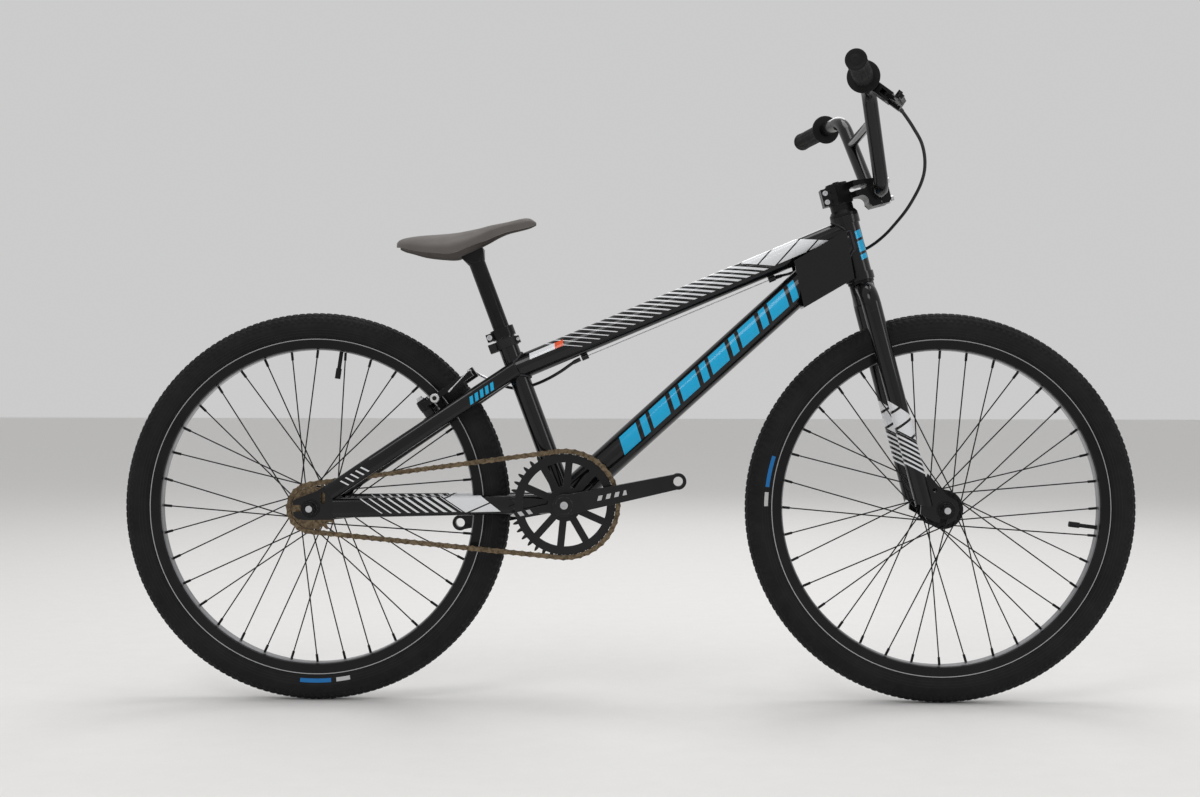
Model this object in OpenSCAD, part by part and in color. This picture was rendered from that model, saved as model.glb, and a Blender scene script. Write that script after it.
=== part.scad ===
// Race cruiser bicycle with 24 inch wheels: +X forward, +Y to the rider's left, +Z up.
// The origin lies on the ground, midway between the two axles.

/* [Overall] */
// Distance between the two axles
wheelbase = 959; // [880:1:1100]
// Height of the bottom bracket above the axles
bb_rise = 6.5; // [-10:0.5:20]
// Head tube angle from the ground
head_angle = 75.5; // [72:0.5:78]
// Seat tube angle from the ground
seat_angle = 69.5; // [68:0.5:73]
// Seat tube length from the bottom bracket to its top
seat_tube_len = 286; // [250:1:350]
// Handlebar width over the grips
bar_width = 711; // [640:1:780]

/* [Wheels] */
// Radius of the rim's bead seat
rim_bead_r = 253.5; // [203:0.5:280]
// Width of the tyre
tyre_w = 46; // [38:1:50]
// Width of the rim
rim_w = 28; // [24:1:32]
// Depth of the rim from bead seat to inner face
rim_depth = 12; // [10:1:18]
// Spokes in each wheel
spokes = 36; // [36]
// Diameter of a spoke
spoke_d = 2; // [1.8:0.1:2.3]
// Width between the rear dropouts
rear_old = 110; // [110:1:116]
// Width between the fork dropouts
front_old = 100; // [100:1:106]
// Diameter of the axles
axle_d = 10; // [9:0.5:10]

/* [Frame tubes] */
// Diameter of the down tube
down_d = 48; // [38:1:52]
// Diameter of the top tube
top_d = 38; // [30:1:42]
// Diameter of the seat tube
seat_d = 31; // [29:0.5:34]
// Diameter of the head tube between its cups
head_d = 40; // [38:0.5:46]
// Diameter of the head tube's cups
cup_d = 44.5; // [43:0.5:50]
// Length of the head tube
head_len = 101.6; // [95:0.1:125]
// Diameter of the bottom bracket shell
shell_d = 48; // [46:0.5:52]
// Width of the bottom bracket shell
shell_w = 68; // [68:1:73]
// Wall of the frame tubes
wall = 2; // [1.5:0.1:3]
// Depth of the chainstays
chainstay_h = 30; // [24:1:32]
// Thickness of the chainstays
chainstay_t = 16; // [12:1:16]
// Depth of the seatstays
seatstay_h = 25; // [18:1:27]
// Thickness of the seatstays
seatstay_t = 15; // [12:1:15]
// Thickness of the rear dropouts
dropout_t = 6; // [4:0.5:7]

/* [Seat] */
// Diameter of the seatpost
post_d = 25.4; // [25:0.1:27.2]
// Length of seatpost inside the seat tube
post_in = 90; // [70:1:120]
// Height of the saddle's clamp point above the seat tube, along the post
post_out = 122; // [100:1:220]
// Length of the saddle
saddle_len = 214; // [190:1:260]
// Width of the saddle
saddle_w = 142; // [120:1:160]

/* [Fork and steering] */
// Distance of the axle in front of the steering axis
fork_offset = 30; // [20:1:40]
// Length of the fork from axle to crown race, along the steering axis
fork_len = 364; // [355:1:400]
// Diameter of the fork legs at the crown
leg_d = 29; // [26:0.5:30]
// Diameter of the fork legs at the dropout
leg_tip_d = 26; // [22:0.5:28]
// Diameter of the steerer
steerer_d = 28.6; // [25.4:0.1:28.6]
// Reach of the stem from the steerer to the handlebar
stem_reach = 57.5; // [50:0.5:65]
// Diameter of the handlebar
bar_d = 22.2; // [22.2]
// Rise of the handlebar from clamp to grips
bar_rise = 141; // [110:1:200]
// Backsweep of the grips
backsweep = 12; // [6:0.5:14]
// Upsweep of the grips
upsweep = 2.5; // [0:0.5:4]
// Length of a grip
grip_len = 130; // [110:1:140]
// Diameter of a grip's flange
grip_flange_d = 47; // [40:1:52]

/* [Drivetrain] */
// Teeth on the chainring
ring_teeth = 40; // [34:1:44]
// Teeth on the freewheel
cog_teeth = 18; // [15:1:20]
// Links in the chain
chain_links = 90; // [84:2:100]
// Distance of the chain from the middle plane
chainline = 44.5; // [43:0.5:45]
// Length of the crank arms
crank_len = 175; // [165:1:180]
// Angle of the right crank above the horizontal
crank_angle = 12.2; // [0:0.1:360]
// Diameter of the crank spindle
spindle_d = 19; // [19:1:22]
// Radius of the pedal thread's wall
pedal_r = 7.14; // [7:0.01:7.3]

/* [Brake] */
// Distance of the brake pivots from the rear axle, along the seatstays
pivot_along = 228; // [222:1:232]
// Distance from brake pivot to the cable, along the arm
brake_arm_len = 83; // [80:1:90]
// Gap between brake pad and rim at rest
pad_gap = 1.6; // [1.2:0.1:3]
// Angle of the brake lever below the horizontal
lever_drop = 37; // [15:1:45]

/* [Hidden] */

$fn = 48;
fit = 0.05;          // radial clearance of a running or sliding fit
gap = 0.4;           // space between parts that move past each other
hull_fn = 32;
pitch = 12.7;        // chain pitch

black = [0.03, 0.03, 0.03];
rubber = [0.08, 0.08, 0.08];
steel = [0.7, 0.7, 0.72];
bronze = [0.42, 0.33, 0.22];
saddle_grey = [0.33, 0.31, 0.30];

// ---- main points ----
tyre_r = rim_bead_r + tyre_w - 0.5;
rear = [-wheelbase / 2, 0, tyre_r];
front = [wheelbase / 2, 0, tyre_r];

// chain centre distance for a whole number of links
ring_r = pitch / 2 / sin(180 / ring_teeth);
cog_r = pitch / 2 / sin(180 / cog_teeth);
spare = chain_links - (ring_teeth + cog_teeth) / 2;
tooth_step = (ring_teeth - cog_teeth) / (2 * PI);
centres = pitch / 4 * (spare + sqrt(spare * spare - 8 * tooth_step * tooth_step));
bb = rear + [sqrt(centres * centres - bb_rise * bb_rise), 0, bb_rise];

seat_dir = [-cos(seat_angle), 0, sin(seat_angle)];
seat_fwd = [sin(seat_angle), 0, cos(seat_angle)];
function seat_pt(s, p = 0, y = 0) = bb + s * seat_dir + p * seat_fwd + [0, y, 0];

steer_foot = front - fork_offset * [sin(head_angle), 0, cos(head_angle)];
function steer_pt(w, y, t) = steer_foot
    + [w * sin(head_angle) - t * cos(head_angle), y, w * cos(head_angle) + t * sin(head_angle)];

head_t0 = fork_len + 4.2;          // lower end of the head tube on the steering axis
head_t1 = head_t0 + head_len;
top_joint_drop = 22;
down_joint_drop = 39;
top_joint_s = seat_tube_len - 66;
top_rear = seat_pt(top_joint_s);
top_front = steer_pt(0, 0, head_t1 - top_joint_drop);
top_dir = unit(top_front - top_rear);
top_up = [-top_dir[2], 0, top_dir[0]];
down_rear = bb + [0, 0, 5];
down_front = steer_pt(0, 0, head_t1 - down_joint_drop);
down_dir = unit(down_front - down_rear);
down_up = [-down_dir[2], 0, down_dir[0]];

// seatstays: a straight line seen from the side, with bends seen from above
stay_top = top_rear;
stay_low = rear + [27.5, 0, 23];
stay_dir = unit(stay_top - stay_low);
stay_up = [-stay_dir[2], 0, stay_dir[0]];
stay_angle = atan2(stay_dir[2], stay_dir[0]);
stay_lift = (stay_low - rear) * stay_up;
stay_end = (stay_top - rear) * stay_dir;
dropout_in = rear_old / 2;
stay_y = dropout_in + 3.2;
function stay_pt(r, y, h = 0) = rear + r * stay_dir + (h + stay_lift) * stay_up + [0, y, 0];

stem_t0 = head_t1 + 20;            // underside of the stem on the steerer
stem_h = 30;
bar_t = stem_t0 + 2;
bar_centre = steer_pt(stem_reach, 0, bar_t);
bar_r = bar_d / 2;

// ---- vector helpers ----
function unit(v) = v / norm(v);
function mirror_y(v) = [v[0], -v[1], v[2]];

// Place children with +Z along the line from p to q
module along(p, q) {
    d = q - p;
    translate(p) rotate([0, acos(d[2] / norm(d)), atan2(d[1], d[0])]) children();
}
module rod(p, q, r) { along(p, q) cylinder(r = r, h = norm(q - p)); }
module both_sides() { children(); mirror([0, 1, 0]) children(); }
module steer() { translate(steer_foot) rotate([0, head_angle - 90, 0]) children(); }
module seat() { translate(bb) rotate([0, seat_angle - 90, 0]) children(); }
module stay() { translate(rear + stay_lift * stay_up) rotate([0, -stay_angle, 0]) children(); }
// Turn a flat XY outline into an X-Z plate of thickness t, from y to y + t
module plate_xz(y, t) { translate([0, y + t, 0]) rotate([90, 0, 0]) linear_extrude(t) children(); }
module hex(af, h) { cylinder(r = af / 2 / cos(30), h = h, $fn = 6); }
module ring(r, bore, h) {
    difference() {
        cylinder(r = r, h = h);
        translate([0, 0, -1]) cylinder(r = bore, h = h + 2);
    }
}
module bolt(head_r, head_h, shank_r, len) {
    difference() {
        cylinder(r = head_r, h = head_h);
        translate([0, 0, head_h - 2.5]) hex(head_r * 0.95, 3);
    }
    translate([0, 0, -len]) cylinder(r = shank_r, h = len + 0.1);
}

// Oval bar of depth d and thickness t through a list of points
module oval_path(pts, d, t) {
    for (i = [0 : len(pts) - 2])
        along(pts[i], pts[i + 1]) translate([0, 0, i == 0 ? 0 : -0.7])
            linear_extrude(norm(pts[i + 1] - pts[i]) + 0.7 * (i == 0 ? 1 : 2)) {
                square([d - t, t], center = true);
                for (s = [-1, 1]) translate([s * (d - t) / 2, 0]) circle(d = t);
            }
}

// Round bar through points, with an arc of the given radius at each inner corner
function turn(a, b) = acos(max(-1, min(1, a * b)));
function trim(pts, radii, i) = i == 0 || i == len(pts) - 1 ? 0
    : radii[i] * tan(turn(unit(pts[i] - pts[i - 1]), unit(pts[i + 1] - pts[i])) / 2);
module bent_rod(pts, radii, r) {
    n = len(pts);
    for (i = [0 : n - 2]) {
        d = unit(pts[i + 1] - pts[i]);
        rod(pts[i] + d * (trim(pts, radii, i) - (i > 0 ? 1 : 0)),
            pts[i + 1] - d * (trim(pts, radii, i + 1) - (i < n - 2 ? 1 : 0)), r);
    }
    for (i = [1 : n - 2]) {
        a = unit(pts[i] - pts[i - 1]);
        b = unit(pts[i + 1] - pts[i]);
        side = unit(b - (a * b) * a);
        start = pts[i] - a * trim(pts, radii, i);
        x = -side;
        z = cross(x, a);
        c = start + side * radii[i];
        multmatrix([[x[0], a[0], z[0], c[0]], [x[1], a[1], z[1], c[1]], [x[2], a[2], z[2], c[2]]])
            rotate_extrude(angle = turn(a, b)) translate([radii[i], 0]) circle(r = r - 0.05);
    }
}

// Flexible cord: a smooth curve through points, swept with eight sides
function curve_pt(p, i, u) = let (
    a = p[max(i - 1, 0)], b = p[i], c = p[i + 1], d = p[min(i + 2, len(p) - 1)])
    0.5 * (2 * b + (c - a) * u + (2 * a - 5 * b + 4 * c - d) * u * u + (3 * b - a - 3 * c + d) * u * u * u);
function curve(p, n) =
    [for (i = [0 : len(p) - 2]) for (k = [0 : n - 1]) curve_pt(p, i, k / n), p[len(p) - 1]];
function tangents(c) = [for (i = [0 : len(c) - 1])
    unit(c[min(i + 1, len(c) - 1)] - c[max(i - 1, 0)])];
function carried(t, i, u) = unit(u - (u * t[i]) * t[i]);
module cord(p, r, n = 2, sides = 8) {
    c = curve(p, n);
    t = tangents(c);
    m = len(c);
    u = [for (i = 0, v = carried(t, 0, [0.3, 0.1, 1]); i < m; i = i + 1, v = carried(t, min(i, m - 1), v)) v];
    pts = [for (i = [0 : m - 1]) for (k = [0 : sides - 1])
        c[i] + r * (cos(k * 360 / sides) * u[i] + sin(k * 360 / sides) * cross(t[i], u[i]))];
    walls = [for (i = [0 : m - 2]) for (k = [0 : sides - 1]) let (j = (k + 1) % sides)
        [i * sides + k, (i + 1) * sides + k, (i + 1) * sides + j, i * sides + j]];
    polyhedron(pts, concat(walls, [[for (k = [0 : sides - 1]) k]],
        [[for (k = [sides - 1 : -1 : 0]) (m - 1) * sides + k]]), convexity = 4);
}

// ---- frame ----
module head_tube() color(black) steer() difference() {
    union() {
        translate([0, 0, head_t0]) cylinder(d = head_d, h = head_len);
        for (t = [head_t0, head_t1 - 12]) translate([0, 0, t]) cylinder(d = cup_d, h = 12);
    }
    translate([0, 0, head_t0 - 1]) cylinder(d = head_d - 2 * wall - 2, h = head_len + 2);
    for (t = [head_t0 - 1, head_t1 - 8]) translate([0, 0, t]) cylinder(d = bearing_d, h = 9);
}
bearing_d = 41;      // outer diameter of a headset bearing
module head_cut() { steer() translate([0, 0, head_t0]) cylinder(d = head_d, h = head_len);
    steer() for (t = [head_t0, head_t1 - 12]) translate([0, 0, t]) cylinder(d = cup_d, h = 12); }
module seat_cut() { seat() cylinder(d = seat_d, h = seat_tube_len); }
module shell_cut() { translate(bb + [0, shell_w / 2, 0]) rotate([90, 0, 0]) cylinder(d = shell_d, h = shell_w); }
module top_cut() { rod(top_rear, top_front, top_d / 2); }
module down_cut() { rod(down_rear, down_front, down_d / 2); }

module top_tube() color(black) difference() {
    rod(top_rear, top_front, top_d / 2);
    rod(top_rear, top_front, top_d / 2 - wall);
    seat_cut();
    head_cut();
}

gusset_back = 97;    // how far the head gusset reaches back along the top tube
gusset_low = 124;    // how far it reaches back along the down tube
gusset_t = 2.6;
module gusset_outline() {
    low = down_front - gusset_low * down_dir - (down_d / 2 + 3) * down_up;
    up = top_front - gusset_back * top_dir - 12 * top_up;
    foot = steer_pt(-12, 0, head_t0 + 5);
    crown = steer_pt(-6, 0, head_t1 - top_joint_drop);
    polygon([[low[0], low[2]], [foot[0], foot[2]], [crown[0], crown[2]], [up[0], up[2]]]);
}
module down_tube() color(black) difference() {
    union() {
        difference() {
            rod(down_rear, down_front, down_d / 2);
            rod(down_rear, down_front, down_d / 2 - wall);
        }
        for (y = [-down_d / 2 - gusset_t, down_d / 2 - 0.6]) plate_xz(y, gusset_t + 0.6) gusset_outline();
        difference() {
            plate_xz(-down_d / 2, down_d) gusset_outline();
            translate([-gusset_t * 0.7, 0, gusset_t]) plate_xz(-down_d / 2 - 1, down_d + 2) gusset_outline();
            down_cut();
        }
    }
    top_cut();
    head_cut();
    seat_cut();
    shell_cut();
}

module seat_tube() color(black) difference() {
    seat() cylinder(d = seat_d, h = seat_tube_len);
    seat() translate([0, 0, -1]) cylinder(r = post_d / 2 + fit, h = seat_tube_len + 2);
    seat() translate([-seat_d, -1.2, seat_tube_len - 32]) cube([seat_d, 2.4, 40]);
    shell_cut();
}

module bottom_bracket_shell() color(black) translate(bb + [0, shell_w / 2, 0]) rotate([90, 0, 0]) {
    ring(shell_d / 2, bb_bore_r, shell_w);
}
bb_bore_r = 20.6;

chainstay_dir = unit(bb - rear);
chainstay_pts = [rear + chainstay_dir * 34 + [0, -stay_y, 0], bb + [0, -22, 0]];
module chainstay_bar() { oval_path(chainstay_pts, chainstay_h, chainstay_t); }
module chainstays() color(black) both_sides() difference() {
    chainstay_bar();
    oval_path(chainstay_pts, chainstay_h - 2 * wall, chainstay_t - 2 * wall);
    shell_cut();
    dropout_blank();
    translate([bb[0] - 60, -12.5, bb[2] - 30]) cube([60, 30, 60]);
}

seatstay_pts = [stay_pt(36, -stay_y), stay_pt(116, -stay_y), stay_pt(300, -37), stay_pt(stay_end, -21)];
module seatstays() color(black) difference() {
    union() {
        both_sides() difference() {
            oval_path(seatstay_pts, seatstay_h, seatstay_t);
            oval_path(seatstay_pts, seatstay_h - 2 * wall, seatstay_t - 2 * wall);
        }
        rod(stay_pt(318, -32), stay_pt(318, 32), 8);
    }
    both_sides() dropout_blank();
    both_sides() chainstay_bar();
    seat_cut();
    top_cut();
    boss_cut();
}

slot_h = axle_d + 0.6;
module dropout_outline() {
    polygon([[-27.5, 11], [-24, 13.5], [10, 27], [44, 48], [52, 36], [44, 16], [46, -10], [32, -17],
        [-8, -17.5], [-20, -16], [-26, -11]]);
}
module dropout_blank() translate(rear) plate_xz(-dropout_in - dropout_t, dropout_t) dropout_outline();
module dropout_plate() translate(rear) plate_xz(-dropout_in - dropout_t, dropout_t) difference() {
    dropout_outline();
    translate([-40, -slot_h / 2]) square([46, slot_h]);
    translate([6, 0]) circle(d = slot_h);
    for (z = [11, 21]) translate([18.5, z]) circle(r = 3.6);
    translate([14.9, 11]) square([7.2, 10]);
}
module rear_dropouts() color(black) both_sides() dropout_plate();

boss_y = 40;
boss_h = 22;         // top of a brake boss above the seatstay's centre line
arm_h0 = boss_h + gap;
arm_h1 = arm_h0 + 17;
stud_r = 4;
module boss_cut() both_sides() stay() translate([pivot_along, -boss_y, 6]) cylinder(r = 8, h = 20);
stop_drop = top_d / 2 + 4.6;      // how far the brake wire runs below the top tube's axis
stop_rear = top_rear + top_dir * 105 - top_up * stop_drop;
stop_front = top_front - top_dir * 136 - top_up * stop_drop;
module cable_stop(p) {
    difference() {
        union() {
            rod(p - 5.5 * top_dir, p + 5.5 * top_dir, 4.3);
            along(p, p + top_up) linear_extrude(6) square([9, 5], center = true);
        }
        rod(p - 9 * top_dir, p + 9 * top_dir, 1.3);
        top_cut();
    }
}
module braze_ons() color(black) {
    both_sides() stay() {
        translate([pivot_along, -boss_y, 6]) cylinder(r = 8, h = boss_h - 6);
        translate([pivot_along, -boss_y, 6]) difference() {
            cylinder(r = stud_r, h = arm_h1 - 6 + 0.2);
            translate([0, 0, arm_h1 - 6 - 14]) cylinder(r = 2.6, h = 20);
        }
    }
    cable_stop(stop_rear);
    cable_stop(stop_front);
}

module headset_bearings() color(steel) steer() for (t = [head_t0 + 0.5, head_t1 - 7.5])
    translate([0, 0, t]) ring(bearing_d / 2, steerer_d / 2 + fit, 7);

bb_cup_w = 12;
module bottom_bracket_bearings() color(steel) for (s = [-1, 1])
    translate(bb + [0, s * (shell_w / 2 - bb_cup_w / 2 + 2), 0]) rotate([90, 0, 0])
        translate([0, 0, -bb_cup_w / 2]) {
            ring(bb_bore_r, spindle_d / 2 + fit, bb_cup_w);
            translate([0, 0, s > 0 ? 0 : bb_cup_w - 2]) ring(bb_bore_r + 2, bb_bore_r - 1, 2);
        }

// ---- seat ----
collar_h = 14;
collar_r = seat_d / 2 + 3;
module seat_clamp() color(black) seat() translate([0, 0, seat_tube_len - collar_h]) difference() {
    union() {
        cylinder(r = collar_r, h = collar_h + 1);
        translate([-collar_r - 8, -9, 1]) cube([14, 18, collar_h - 2]);
    }
    translate([0, 0, -1]) cylinder(d = seat_d, h = collar_h + 1);
    translate([0, 0, -1]) cylinder(r = post_d / 2 + 0.3, h = collar_h + 4);
    translate([-collar_r - 10, -1.2, -1]) cube([collar_r + 2, 2.4, collar_h + 4]);
    translate([-collar_r - 3, 12, collar_h / 2]) rotate([90, 0, 0]) cylinder(r = 2.6, h = 30);
}
band_s = seat_tube_len - 30;
module reflector_bracket() color(black) seat() translate([0, 0, band_s]) difference() {
    union() {
        cylinder(r = seat_d / 2 + 2.2, h = 13);
        translate([-seat_d / 2 - 13, -9, -1]) cube([12, 18, 14]);
        translate([seat_d / 2, -8, 1]) cube([5.5, 16, 11]);
    }
    translate([0, 0, -2]) cylinder(d = seat_d, h = 20);
    translate([seat_d / 2 - 1, -1, -2]) cube([10, 2, 20]);
    translate([seat_d / 2 + 3.6, 12, 6.5]) rotate([90, 0, 0]) cylinder(r = 1.6, h = 30);
    translate([-seat_d / 2 - 20, 0, 6]) rotate([0, 90, 0]) cylinder(r = 2.2, h = 16);
}
module seat_clamp_bolts() color(steel) seat() {
    translate([-collar_r - 3, -9, seat_tube_len - collar_h / 2]) rotate([90, 0, 0]) bolt(4.2, 4.5, 2.5, 22);
    translate([-collar_r - 3, 9, seat_tube_len - collar_h / 2]) rotate([-90, 0, 0]) ring(4.4, 2.6, 4);
    translate([seat_d / 2 + 3.6, -8, band_s + 6.5]) rotate([90, 0, 0]) bolt(2.6, 2.8, 1.5, 17);
}

post_top = seat_pt(seat_tube_len + post_out);
module post() { translate([0, 0, seat_tube_len - post_in]) cylinder(d = post_d, h = post_in + post_out - 12); }
module seatpost() color(black) {
    difference() {
        seat() post();
        seat() translate([0, 0, seat_tube_len - post_in - 1]) cylinder(d = post_d - 4, h = post_in + post_out - 20);
    }
    hull() {
        seat() translate([0, 0, seat_tube_len + post_out - 13]) cylinder(d = post_d + 1, h = 1, $fn = hull_fn);
        translate(post_top + [-3, 0, 5]) rotate([0, -saddle_rise, 0])
            translate([-18, -14, -4.5]) cube([36, 28, 3]);
    }
}
saddle_rise = 24;    // slope of the saddle's underside where the post meets it

// The saddle is a shell lofted through stations, measured from the clamp point on the post:
// [ahead of it, half width, height of the ridge, height of the widest edge, height of the lip]
saddle_rows = [[-117, 22, 20, 14, 10], [-112, 42, 23, 12, 8], [-102, 57, 26, 10, 6], [-81, 70, 29, 7, 1],
    [-55, 72, 31, 5, -2], [-33, 68, 33, 5, -3], [-19, 60, 35, 9, 1], [-5, 50, 38, 15, 8],
    [9, 40, 41, 23, 15], [23, 30, 45, 32, 21], [37, 24, 48, 38, 28], [52, 20, 51, 43, 34],
    [73, 17, 56, 47, 39], [85, 14, 57, 49, 42], [93, 9, 53, 48, 45], [96, 3, 50, 48, 46]];
saddle_long = saddle_len / 214;
saddle_wide = saddle_w / 144;
arc_n = 10;
saddle_wall = 4;
function station(v) = let (i = min(floor(v), len(saddle_rows) - 2)) curve_pt(saddle_rows, i, v - i);
function saddle_pt(r, q, in) = post_top + [r[0] * saddle_long,
    max(0.5, r[1] * saddle_wide - in) * sin(90 * q),
    r[3] + (r[2] - r[3]) * pow(cos(90 * q), 1.2) - in];
function saddle_lip(r, s, in) = post_top + [r[0] * saddle_long, s * max(0.5, r[1] * saddle_wide - in), r[4]];
module saddle() color(saddle_grey) {
    secs = [for (v = [0 : 0.5 : len(saddle_rows) - 1])
        let (r = station(v), t = min(saddle_wall, r[1] * 0.4, (r[3] - r[4]) * 0.7))
        concat([saddle_lip(r, -1, 0)], [for (k = [-arc_n : arc_n]) saddle_pt(r, k / arc_n, 0)],
            [saddle_lip(r, 1, 0), saddle_lip(r, 1, t)], [for (k = [arc_n : -1 : -arc_n]) saddle_pt(r, k / arc_n, t)],
            [saddle_lip(r, -1, t)])];
    n = len(secs[0]);
    m = len(secs);
    walls = [for (i = [0 : m - 2]) for (k = [0 : n - 1]) let (j = (k + 1) % n)
        each [[i * n + k, i * n + j, (i + 1) * n + j], [i * n + k, (i + 1) * n + j, (i + 1) * n + k]]];
    caps = [for (e = [0, m - 1]) for (k = [0 : n / 2 - 2]) let (a = e * n + k, b = e * n + n - 1 - k)
        each (e == 0 ? [[a, b, a + 1], [a + 1, b, b - 1]] : [[a, a + 1, b], [a + 1, b - 1, b]])];
    difference() {
        polyhedron([for (r = secs) each r], concat(walls, caps), convexity = 6);
        seat() translate([0, 0, seat_tube_len]) cylinder(d = post_d + 1, h = post_out + 6);
    }
}

// ---- wheels ----
rim_in_r = rim_bead_r - rim_depth;
rim_out_r = rim_bead_r + 5.5;
module rim(c, valve_angle) color(black) translate(c) rotate([90, 0, 0]) difference() {
    rotate_extrude($fn = 96) difference() {
        polygon([[rim_in_r + 2.5, -rim_w / 2], [rim_out_r, -rim_w / 2], [rim_out_r, -rim_w / 2 + 2],
            [rim_bead_r, -rim_w / 2 + 2.2], [rim_bead_r - 2.5, -5], [rim_bead_r - 2.5, 5],
            [rim_bead_r, rim_w / 2 - 2.2], [rim_out_r, rim_w / 2 - 2], [rim_out_r, rim_w / 2],
            [rim_in_r + 2.5, rim_w / 2], [rim_in_r, 8], [rim_in_r, -8]]);
        translate([rim_in_r + 2, -rim_w / 2 + 2]) square([rim_depth - 6, rim_w - 4]);
    }
    rotate([0, 0, valve_angle]) rotate([0, 90, 0]) cylinder(r = 4.2, h = rim_out_r);
}
module tyre(c) color(rubber) translate(c) rotate([90, 0, 0]) rotate_extrude($fn = 96) difference() {
    union() {
        translate([tyre_r - tyre_w / 2, 0]) circle(d = tyre_w);
        for (s = [-1, 1]) translate([rim_out_r + 1, s * (rim_w / 2 - 2.4)]) circle(r = 2.2);
    }
    translate([tyre_r - tyre_w / 2, 0]) circle(d = tyre_w - 7);
    translate([0, -tyre_w / 2]) square([rim_out_r + 0.6, tyre_w]);
    translate([rim_out_r - 10, -rim_w / 2 + 5.2]) square([20, rim_w - 10.4]);
}
valve_r = 3;
module tube_valve(c, valve_angle) color(rubber) translate(c) rotate([90, 0, 0]) {
    rotate_extrude($fn = 96) translate([tyre_r - tyre_w / 2, 0]) difference() {
        circle(d = tyre_w - 9);
        circle(d = tyre_w - 12);
    }
    rotate([0, 0, valve_angle]) {
        translate([rim_in_r - 34, 0, 0]) rotate([0, 90, 0])
            cylinder(r = valve_r, h = tyre_r - tyre_w + 6 - rim_in_r + 34);
        translate([rim_in_r - 42, 0, 0]) rotate([0, 90, 0]) cylinder(r = 4.3, h = 16);
    }
}

flange_r = 30;
hole_pcr = 26;
flange_t = 3;
module hub(c, flange_y, half, boss_y0, boss_r) color(black) translate(c) rotate([-90, 0, 0]) difference() {
    union() {
        translate([0, 0, -flange_y]) cylinder(r = 15.5, h = 2 * flange_y);
        for (s = [-1, 1]) translate([0, 0, s * flange_y - flange_t / 2]) cylinder(r = flange_r, h = flange_t);
        translate([0, 0, -boss_y0]) cylinder(r = boss_r, h = boss_y0 - flange_y + 3);
        translate([0, 0, flange_y]) cylinder(r = 17, h = half - flange_y);
    }
    translate([0, 0, -70]) cylinder(r = axle_d / 2 + fit, h = 140);
    for (s = [-1, 1]) for (i = [0 : spokes / 2 - 1])
        rotate([0, 0, hole_angle(i, s)]) translate([hole_pcr, 0, s * flange_y - 4]) cylinder(r = spoke_d / 2 + 0.3, h = 8);
}
// Spoke holes: the two flanges are offset by half a hole
hole_step = 720 / spokes;
function hole_angle(i, s) = i * hole_step + (s > 0 ? 0 : hole_step / 2);
cross_angle = 3 * hole_step;
nipple_r = 2;
outer_extra = 1.5;   // the spokes outside a flange stand this much further off it, to clear its rim
module one_spoke(flange_y, i, s) {
    lead = i % 2 == 0 ? 1 : -1;
    a = hole_angle(i, s);
    b = a + lead * cross_angle;
    out = lead > 0 ? outer_extra : 0;
    y_hub = s * (flange_y + out + lead * (flange_t / 2 + spoke_d / 2 + 0.3));
    y_rim = s * 3;
    p = [hole_pcr * cos(a), hole_pcr * sin(a), y_hub];
    e = [(rim_in_r - gap) * cos(b), (rim_in_r - gap) * sin(b), y_rim];
    d = unit(e - p);
    rod(p, e - 11 * d, spoke_d / 2);
    elbow = flange_t + spoke_d + 2 + out;
    translate([p[0], p[1], y_hub + s * lead * 1.1 - (s * lead > 0 ? elbow : 0)])
        cylinder(r = spoke_d / 2 + 0.1, h = elbow);
    translate([p[0], p[1], y_hub - s * lead * (flange_t + spoke_d + 1.5 + out) - 0.75]) cylinder(r = 1.9, h = 1.5);
    rod(e - 12 * d, e, nipple_r);
}
module spoke_set(c, flange_y) color(black) translate(c) rotate([-90, 0, 0])
    for (s = [-1, 1]) for (i = [0 : spokes / 2 - 1]) one_spoke(flange_y, i, s);

front_flange = 33;
rear_flange = 30;
module front_hub() hub(front, front_flange, front_old / 2 - 8, front_old / 2 - 8, 17);
module rear_hub() hub(rear, rear_flange, rear_old / 2 - 9, chainline + 4, cog_bore_r);
module front_spokes() spoke_set(front, front_flange);
module rear_spokes() spoke_set(rear, rear_flange);
front_valve = -7;
rear_valve = 81.4;
module front_rim() rim(front, front_valve);
module rear_rim() rim(rear, rear_valve);
module front_tyre() tyre(front);
module rear_tyre() tyre(rear);
module front_tube_valve() tube_valve(front, front_valve);
module rear_tube_valve() tube_valve(rear, rear_valve);

// Axle with a cone and lock nut at each end, up to the dropouts
module axle(c, old, cone_from, reach) color(steel) translate(c) rotate([90, 0, 0]) {
    translate([0, 0, -old / 2 - reach]) cylinder(d = axle_d, h = old + 2 * reach);
    for (s = [-1, 1]) {
        a = cone_from[s > 0 ? 1 : 0];
        translate([0, 0, s > 0 ? a : -old / 2]) cylinder(r = 8, h = old / 2 - a);
    }
}
module axle_nuts(c, old, plate) color(black) translate(c) rotate([90, 0, 0]) for (s = [-1, 1])
    scale([1, 1, s]) translate([0, 0, old / 2 + plate]) {
        ring(14, axle_d / 2 + 0.02, 2.2);
        translate([0, 0, 2.2]) ring(11, axle_d / 2 + 0.02, 2);
        translate([0, 0, 4.2]) difference() {
            hex(15, 8);
            translate([0, 0, -1]) cylinder(d = axle_d + 0.04, h = 12);
        }
    }
axle_reach = 20;
module rear_axle() axle(rear, rear_old, [rear_old / 2 - 9 + gap, chainline + 4 + gap], axle_reach);
module front_axle() axle(front, front_old, [front_old / 2 - 8 + gap, front_old / 2 - 8 + gap], axle_reach);
module rear_axle_nuts() axle_nuts(rear, rear_old, dropout_t);
module front_axle_nuts() axle_nuts(front, front_old, fork_plate_t);

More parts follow.
